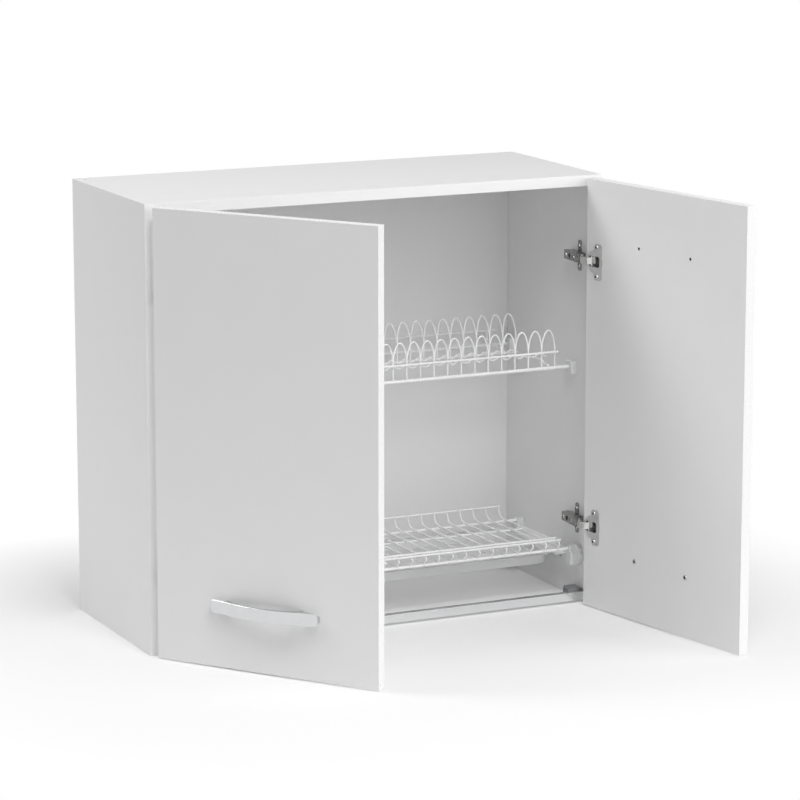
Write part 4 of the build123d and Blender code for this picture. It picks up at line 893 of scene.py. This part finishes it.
# %% Rods and cross bars
COATED = 1.15  # A coated rod's radius over half the side of its square in the measured model
THICKEST_ROD = 4 * MM
SHORTEST_ROD = 4  # In radii
DEEPEST_ROD = 100 * MM
BAR_RADIUS = 2.1 * MM
BAR_LINE = [(57.13, 397.53), (70.0, 397.53), (82.0, 403.6), (90.0, 403.6), (184.0, 391.6),
            (203.7, 391.6), (272.0, 399.53), (283.63, 399.53), (283.63, 420.0)]


def straight_rods(node):
    """Radius and ends of every straight rod of a node that runs from side to side."""
    rods = []
    for low, high, _ in loose_solids(node):
        radius = max(high.y - low.y, high.z - low.z) / 2
        if radius < THICKEST_ROD and high.x - low.x > SHORTEST_ROD * radius:
            middle = (low + high) / 2
            ends = [Vector((x, middle.y, middle.z)) for x in (low.x, high.x)]
            rods.append((radius * COATED, ends))
    return rods


def in_cabinet(x, line):
    """Points at one place across the cabinet, from ways back from its front and heights."""
    return [Vector((x, FRONT_Y + back * MM, BOTTOM_Z + height * MM)) for back, height in line]


rods = first_legs + straight_rods("plate_rack_rods")
for low, high, _ in loose_solids("plate_rack_rods"):
    if high.y - low.y > DEEPEST_ROD:
        rods.append((BAR_RADIUS, in_cabinet((low.x + high.x) / 2, BAR_LINE)))
wirework("plate_rack_rods_and_bars", rods, "plate_rack_rods", 5.0, 14)

# %% [markdown]
# The cup rack is a shelf of 29 cross wires. Each curls up at the back, runs along the shelf, slants
# down and back from the front edge, and comes back underneath, so the edge looks like a small truss.
# One wire's line is typed, and the tree repeats it at the pitch of the loops above.

# %% Cup rack
CUP_LINE = [(259.0, 115.0), (257.0, 107.0), (252.0, 99.5), (243.5, 96.3), (232.0, 95.8), (25.5, 100.2),
            (43.0, 87.2), (74.0, 88.8)]
cup_wires = [(WIRE_RADIUS, in_cabinet(0, CUP_LINE))]
wirework("cup_rack_cross_wires", cup_wires, "cup_rack_wires", 3.5, 10, LOOP_COUNT + 1, pitch)
wirework("cup_rack_long_rods", straight_rods("cup_rack_rods"), "cup_rack_rods", 2.0, 14)

# %% [markdown]
# Screws are what a close look finds first. Each kind is the same pan head with a cross recess and a
# threaded shank, turned from profiles in shares of their radius and length. The recess is cut by two
# crossed blocks, and its faces are marked for a painted shade. A painted cross would not catch the
# light.

# %% Screw head and shank
HEAD_PROFILE = [(1.0, 0.0), (1.0, 0.2), (0.93, 0.5), (0.78, 0.76), (0.55, 0.92), (0.25, 0.99),
                (0.02, 1.0)]
HEAD_SIDES = 20
RECESS_HALF_WIDTH = 0.26
RECESS_REACH = 0.66
RECESS_FLOOR = 0.42
RECESS_TOP = 1.2
INSIDE_RIM = 0.9
NEARLY_UPRIGHT = 0.1
NEARLY_LEVEL = 0.01
SHANK_SIDES = 10
THREADS = 7
THREAD_LENGTH = 0.9
THREAD_ROOT = 0.72
THREAD_RISE = 0.05

head = mesh_object("screw_head", plain_mesh("screw_head", lathe(HEAD_PROFILE, HEAD_SIDES)))
blocks = []
for wide, long in ((RECESS_REACH, RECESS_HALF_WIDTH), (RECESS_HALF_WIDTH, RECESS_REACH)):
    block = cuboid((-wide, -long, RECESS_FLOOR), (wide, long, RECESS_TOP))
    blocks.append(mesh_object("block", plain_mesh("block", block)))
cut(head, blocks)
# Faces inside the recess get the painted shade
recess = head.data.attributes.new("recess", "FLOAT", "FACE")
for polygon in head.data.polygons:
    upright = abs(polygon.normal.z) < NEARLY_UPRIGHT
    on_floor = abs(polygon.center.z - RECESS_FLOOR) < NEARLY_LEVEL
    within = math.hypot(polygon.center.x, polygon.center.y) < INSIDE_RIM
    recess.data[polygon.index].value = 1.0 if within and (upright or on_floor) else 0.0

thread = [(0.02, -1.0), (0.7, -0.93)]
for turn in range(THREADS):
    base = THREAD_LENGTH * (turn / THREADS - 1)
    thread += [(THREAD_ROOT, base), (1.0, base + THREAD_RISE)]
thread += [(0.75, -0.01), (0.75, 0.02)]
shank = mesh_object("screw_shank", plain_mesh("screw_shank", lathe(thread, SHANK_SIDES)))
print("head", len(head.data.polygons), "faces, shank", len(shank.data.polygons))

# %% [markdown]
# Every screw could be copied and turned by hand. Instead, a second tree puts a head and a shank on
# each point of a small mesh, whose points say which way their screw faces and how wide and long it is.


# %% Screw tree
def screw_tree():
    """A head and a shank on every point, turned and sized by the point's attributes."""
    tree, given = new_tree("screws", "Screws", Points="Geometry", Head="Object", Shank="Object",
                           Finish="Material")
    away = add_node(tree, "GeometryNodeInputNamedAttribute", {"Name": "away"}, data_type="FLOAT_VECTOR")
    turned = add_node(tree, "FunctionNodeAlignRotationToVector", {"Vector": away.outputs[0]}, axis="Z")
    joined = add_node(tree, "GeometryNodeJoinGeometry")
    for part, size in (("Head", "head_size"), ("Shank", "shank_size")):
        shape = add_node(tree, "GeometryNodeObjectInfo", {"Object": given[part]})
        scale = add_node(tree, "GeometryNodeInputNamedAttribute", {"Name": size},
                         data_type="FLOAT_VECTOR")
        copies = add_node(tree, "GeometryNodeInstanceOnPoints", {
            "Points": given["Points"], "Instance": shape.outputs["Geometry"],
            "Rotation": turned.outputs[0], "Scale": scale.outputs[0]})
        tree.links.new(copies.outputs["Instances"], joined.inputs[0])
    close_tree(tree, "Screws", joined.outputs[0], given["Finish"])
    return tree


SCREWS = screw_tree()
print("screw tree", len(SCREWS.nodes), "nodes")

# %% [markdown]
# The nodes of the measured screws say where each sits, which way it faces and how long it is, so none
# of this is typed again: the points at a screw's top give the middle and the radius of its head, and
# the lowest ones its length.

# %% Screws
HEAD_HEIGHT = 2.0 * MM
SAME_LEVEL = 0.01 * MM
SCREW_CREASE = 40
SCREW_RADIUS = 1.7 * MM
HANDLE_SCREW_RADIUS = 1.95 * MM
INWARDS = {"left": Vector((1, 0, 0)), "right": Vector((-1, 0, 0))}


def screw_facts(places, outwards):
    """Seat, head radius and shank length of one measured screw, from its points and its direction."""
    heights = [place.dot(outwards) for place in places]
    top = max(heights)
    head_points = [place for place, height in zip(places, heights) if top - height < SAME_LEVEL]
    middle = sum(head_points, Vector()) / len(head_points)
    radius = max((place - middle).length for place in head_points)
    return middle - outwards * HEAD_HEIGHT, radius, top - min(heights) - HEAD_HEIGHT


def screws(node, shank_radius, outwards=None):
    """All screws of one node. They face one way, or from the side that each is in."""
    seats, sizes = [], {"away": [], "head_size": [], "shank_size": []}
    for low, _, places in loose_solids(node):
        away = outwards or INWARDS["left" if low.x < 0 else "right"]
        seat, radius, length = screw_facts(places, away)
        seats.append(seat)
        sizes["away"].append(away)
        sizes["head_size"].append((radius, radius, HEAD_HEIGHT))
        sizes["shank_size"].append((shank_radius, shank_radius, length))
    mesh = bpy.data.meshes.new(node)
    mesh.from_pydata(seats, [], [])
    for name, values in sizes.items():
        attribute = mesh.attributes.new(name, "FLOAT_VECTOR", "POINT")
        for point, value in zip(attribute.data, values):
            point.vector = value
    piece = mesh_object(node + "_cross_head", mesh)
    through_nodes(piece, SCREWS, SCREW_CREASE, Head=head, Shank=shank, Finish=finish_of(node))
    dress(piece, node)
    return len(seats)


made = 0
for side in SIDES:
    for kind in ("hinge_plate_screws", "hinge_arm_screws", "hanging_bracket_screws"):
        made += screws(f"{side}_{kind}", SCREW_RADIUS)
    made += screws(f"{side}_hinge_cup_screws", SCREW_RADIUS, INNER_FACE[side])
    made += screws(f"{side}_handle_screws", HANDLE_SCREW_RADIUS, INNER_FACE[side])
for node in ("base_bracket_screws", "rack_support_screws"):
    made += screws(node, SCREW_RADIUS)
print("screws", made)

# %% [markdown]
# The studio is plain. A pale floor takes the soft shadow under the cabinet. A rounded backdrop could
# join it to a wall, but a wide flat disc that fades out at its rim needs no wall.

# %% Floor
FLOOR_RADIUS = 4.0
FLOOR_MIDDLE_Y = -0.3
FLOOR_GAP = 0.05 * MM
FLOOR_SIDES = 64
GRIT_SIZE = 15.0

floor_shape = bmesh.new()
bmesh.ops.create_circle(floor_shape, cap_ends=True, segments=FLOOR_SIDES, radius=FLOOR_RADIUS)
middle = (0, FLOOR_MIDDLE_Y, BOTTOM_Z - FLOOR_GAP)
bmesh.ops.translate(floor_shape, verts=floor_shape.verts, vec=middle)
floor = mesh_object("floor", plain_mesh("floor", floor_shape))
pale_floor, tree, shader, place = new_finish(
    "matt_studio_floor", IOR=1.45, Roughness=0.9, Specular_IOR_Level=0.1)
grit = add_node(tree, "ShaderNodeTexNoise", {
    "Vector": place, "Scale": pattern_scale(GRIT_SIZE), "Detail": 3}).outputs["Fac"]
vary(tree, shader, grit, ("#f5f5f5", "#f8f8f8"))
floor.data.materials.append(pale_floor)
print("floor", round(floor.dimensions.x, 2), "m across")

# %% [markdown]
# The floor could be lit until it turns white, but the same light would bleach the cabinet. So it glows
# white away from the cabinet instead, and only for the rays that look at it. Rays of bounced light see
# most of that glow too, as from a real white floor. Far out, the floor fades into the background.

# %% White away from the cabinet
SHADOW_MIDDLE = (0.06, -0.24, 0.0)
SHADOW_HALF = (0.32, 0.2, 10.0)
SHADOW_REACH = 0.05
WHITE_FROM = 0.55
LEAST_GLOW = 0.15
FLOOR_BOUNCE = 0.9
FLOOR_SOLID = 1.4
FLOOR_END = 2.6


def looking_rays(tree, least=0.0):
    """1 for rays that look at a thing, straight, in a shine or through plastic, else a least value."""
    rays = add_node(tree, "ShaderNodeLightPath").outputs
    for ray in ("Is Camera Ray", "Is Glossy Ray", "Is Transmission Ray"):
        larger = add_node(tree, "ShaderNodeMath", {0: least, 1: rays[ray]}, operation="MAXIMUM")
        least = larger.outputs[0]
    return least


outside = place
for operation, value in (("SUBTRACT", SHADOW_MIDDLE), ("ABSOLUTE", (0, 0, 0)), ("SUBTRACT", SHADOW_HALF),
                         ("MAXIMUM", (0, 0, 0))):
    result = add_node(tree, "ShaderNodeVectorMath", {0: outside, 1: value}, operation=operation)
    outside = result.outputs[0]
level = add_node(tree, "ShaderNodeVectorMath", {0: place, 1: (1, 1, 0)}, operation="MULTIPLY")
from_cabinet, from_middle = [
    add_node(tree, "ShaderNodeVectorMath", {0: vector}, operation="LENGTH").outputs["Value"]
    for vector in (outside, level.outputs[0])]
glow = add_node(tree, "ShaderNodeMapRange", {
    "Value": from_cabinet, "From Min": SHADOW_REACH, "From Max": WHITE_FROM, "To Min": LEAST_GLOW,
    "To Max": 1.0}).outputs["Result"]
diffuse = add_node(tree, "ShaderNodeLightPath").outputs["Is Diffuse Ray"]
bounce = add_node(tree, "ShaderNodeMath", {0: diffuse, 1: FLOOR_BOUNCE}, operation="MULTIPLY")
looking = looking_rays(tree, bounce.outputs[0])
seen = add_node(tree, "ShaderNodeMath", {0: looking, 1: glow}, operation="MULTIPLY")
white = add_node(tree, "ShaderNodeEmission", {"Color": (1, 1, 1, 1), "Strength": 1.0}).outputs[0]
lit = add_node(tree, "ShaderNodeMixShader", {
    0: seen.outputs[0], 1: shader.outputs[0], 2: white}).outputs[0]
fade = add_node(tree, "ShaderNodeMapRange", {
    "Value": from_middle, "From Min": FLOOR_SOLID, "From Max": FLOOR_END},
    interpolation_type="SMOOTHSTEP").outputs["Result"]
clear = add_node(tree, "ShaderNodeBsdfTransparent").outputs[0]
faded = add_node(tree, "ShaderNodeMixShader", {0: fade, 1: lit, 2: clear}).outputs[0]
tree.links.new(faded, tree.nodes["Material Output"].inputs["Surface"])
print("floor glows from", SHADOW_REACH, "to", WHITE_FROM, "m off the cabinet")

# %% [markdown]
# The room is dark for the light it gives and white for the rays that look at it, so that the eye, the
# chrome and the tray see a white studio while the lamps alone shade the cabinet. In a shine, the room
# darkens towards its ceiling, which gives the bright metals their grey upper tones.

# %% Room
ROOM_LIGHT = 0.03
CEILING_FROM = 0.35
CEILING_TO = 0.8
CEILING_SHINE = 0.3

world = bpy.data.worlds.new("white_room")
bpy.context.scene.world = world
world.use_nodes = True
tree = world.node_tree
room = tree.nodes["Background"]
room.inputs["Color"].default_value = (1, 1, 1, 1)
room.inputs["Strength"].default_value = ROOM_LIGHT
direction = add_node(tree, "ShaderNodeTexCoord").outputs["Generated"]
height = add_node(tree, "ShaderNodeSeparateXYZ", {0: direction}).outputs["Z"]
ceiling = add_node(tree, "ShaderNodeMapRange", {
    "Value": height, "From Min": CEILING_FROM, "From Max": CEILING_TO, "To Min": 1.0,
    "To Max": CEILING_SHINE}).outputs["Result"]
in_shine = add_node(tree, "ShaderNodeLightPath").outputs["Is Glossy Ray"]
strength = add_node(tree, "ShaderNodeMix", {"Factor": in_shine, "A": 1.0, "B": ceiling})
white = add_node(tree, "ShaderNodeBackground", {
    "Color": (1, 1, 1, 1), "Strength": strength.outputs["Result"]}).outputs[0]
mixed = add_node(tree, "ShaderNodeMixShader", {0: looking_rays(tree), 1: room.outputs[0], 2: white})
tree.links.new(mixed.outputs[0], tree.nodes["World Output"].inputs["Surface"])
print("room light", ROOM_LIGHT)

# %% [markdown]
# Four broad square lamps light the cabinet, as soft boxes do in a studio: one to the right, one in
# front, one high behind on the left for the top and the left side, and one high in front. One lamp
# alone would leave a hard dark side. Together they stay at a plain level, at which a white board
# renders about as white as its colour is written.

# %% Lamps
CABINET_MIDDLE = (0, -0.2, -0.3)
LAMPS = {  # Place, the point it faces, side in metres, power in watts
    "right_lamp": ((2.6, -2.4, 0.9), CABINET_MIDDLE, 2.0, 52),
    "front_lamp": ((0.2, -3.6, 1.2), (0, 0, -0.3), 2.4, 35),
    "left_rear_lamp": ((-2.6, 1.1, 2.2), CABINET_MIDDLE, 1.4, 65),
    "top_front_lamp": ((-0.3, -2.2, 2.6), CABINET_MIDDLE, 1.2, 50),
}

for name, (place, target, size, power) in LAMPS.items():
    data = bpy.data.lights.new(name, "AREA")
    data.size = size
    data.energy = power
    lamp = bpy.data.objects.new(name, data)
    lamp.location = place
    lamp.rotation_euler = (Vector(target) - Vector(place)).to_track_quat("-Z", "Y").to_euler()
    bpy.context.scene.collection.objects.link(lamp)
bpy.context.scene.view_settings.view_transform = "Standard"
print("lamps", len(LAMPS))

# %% [markdown]
# The head and the shank were only patterns for the screws, so they go.

# %% The last line
for pattern in (head, shank):
    bpy.data.objects.remove(pattern)
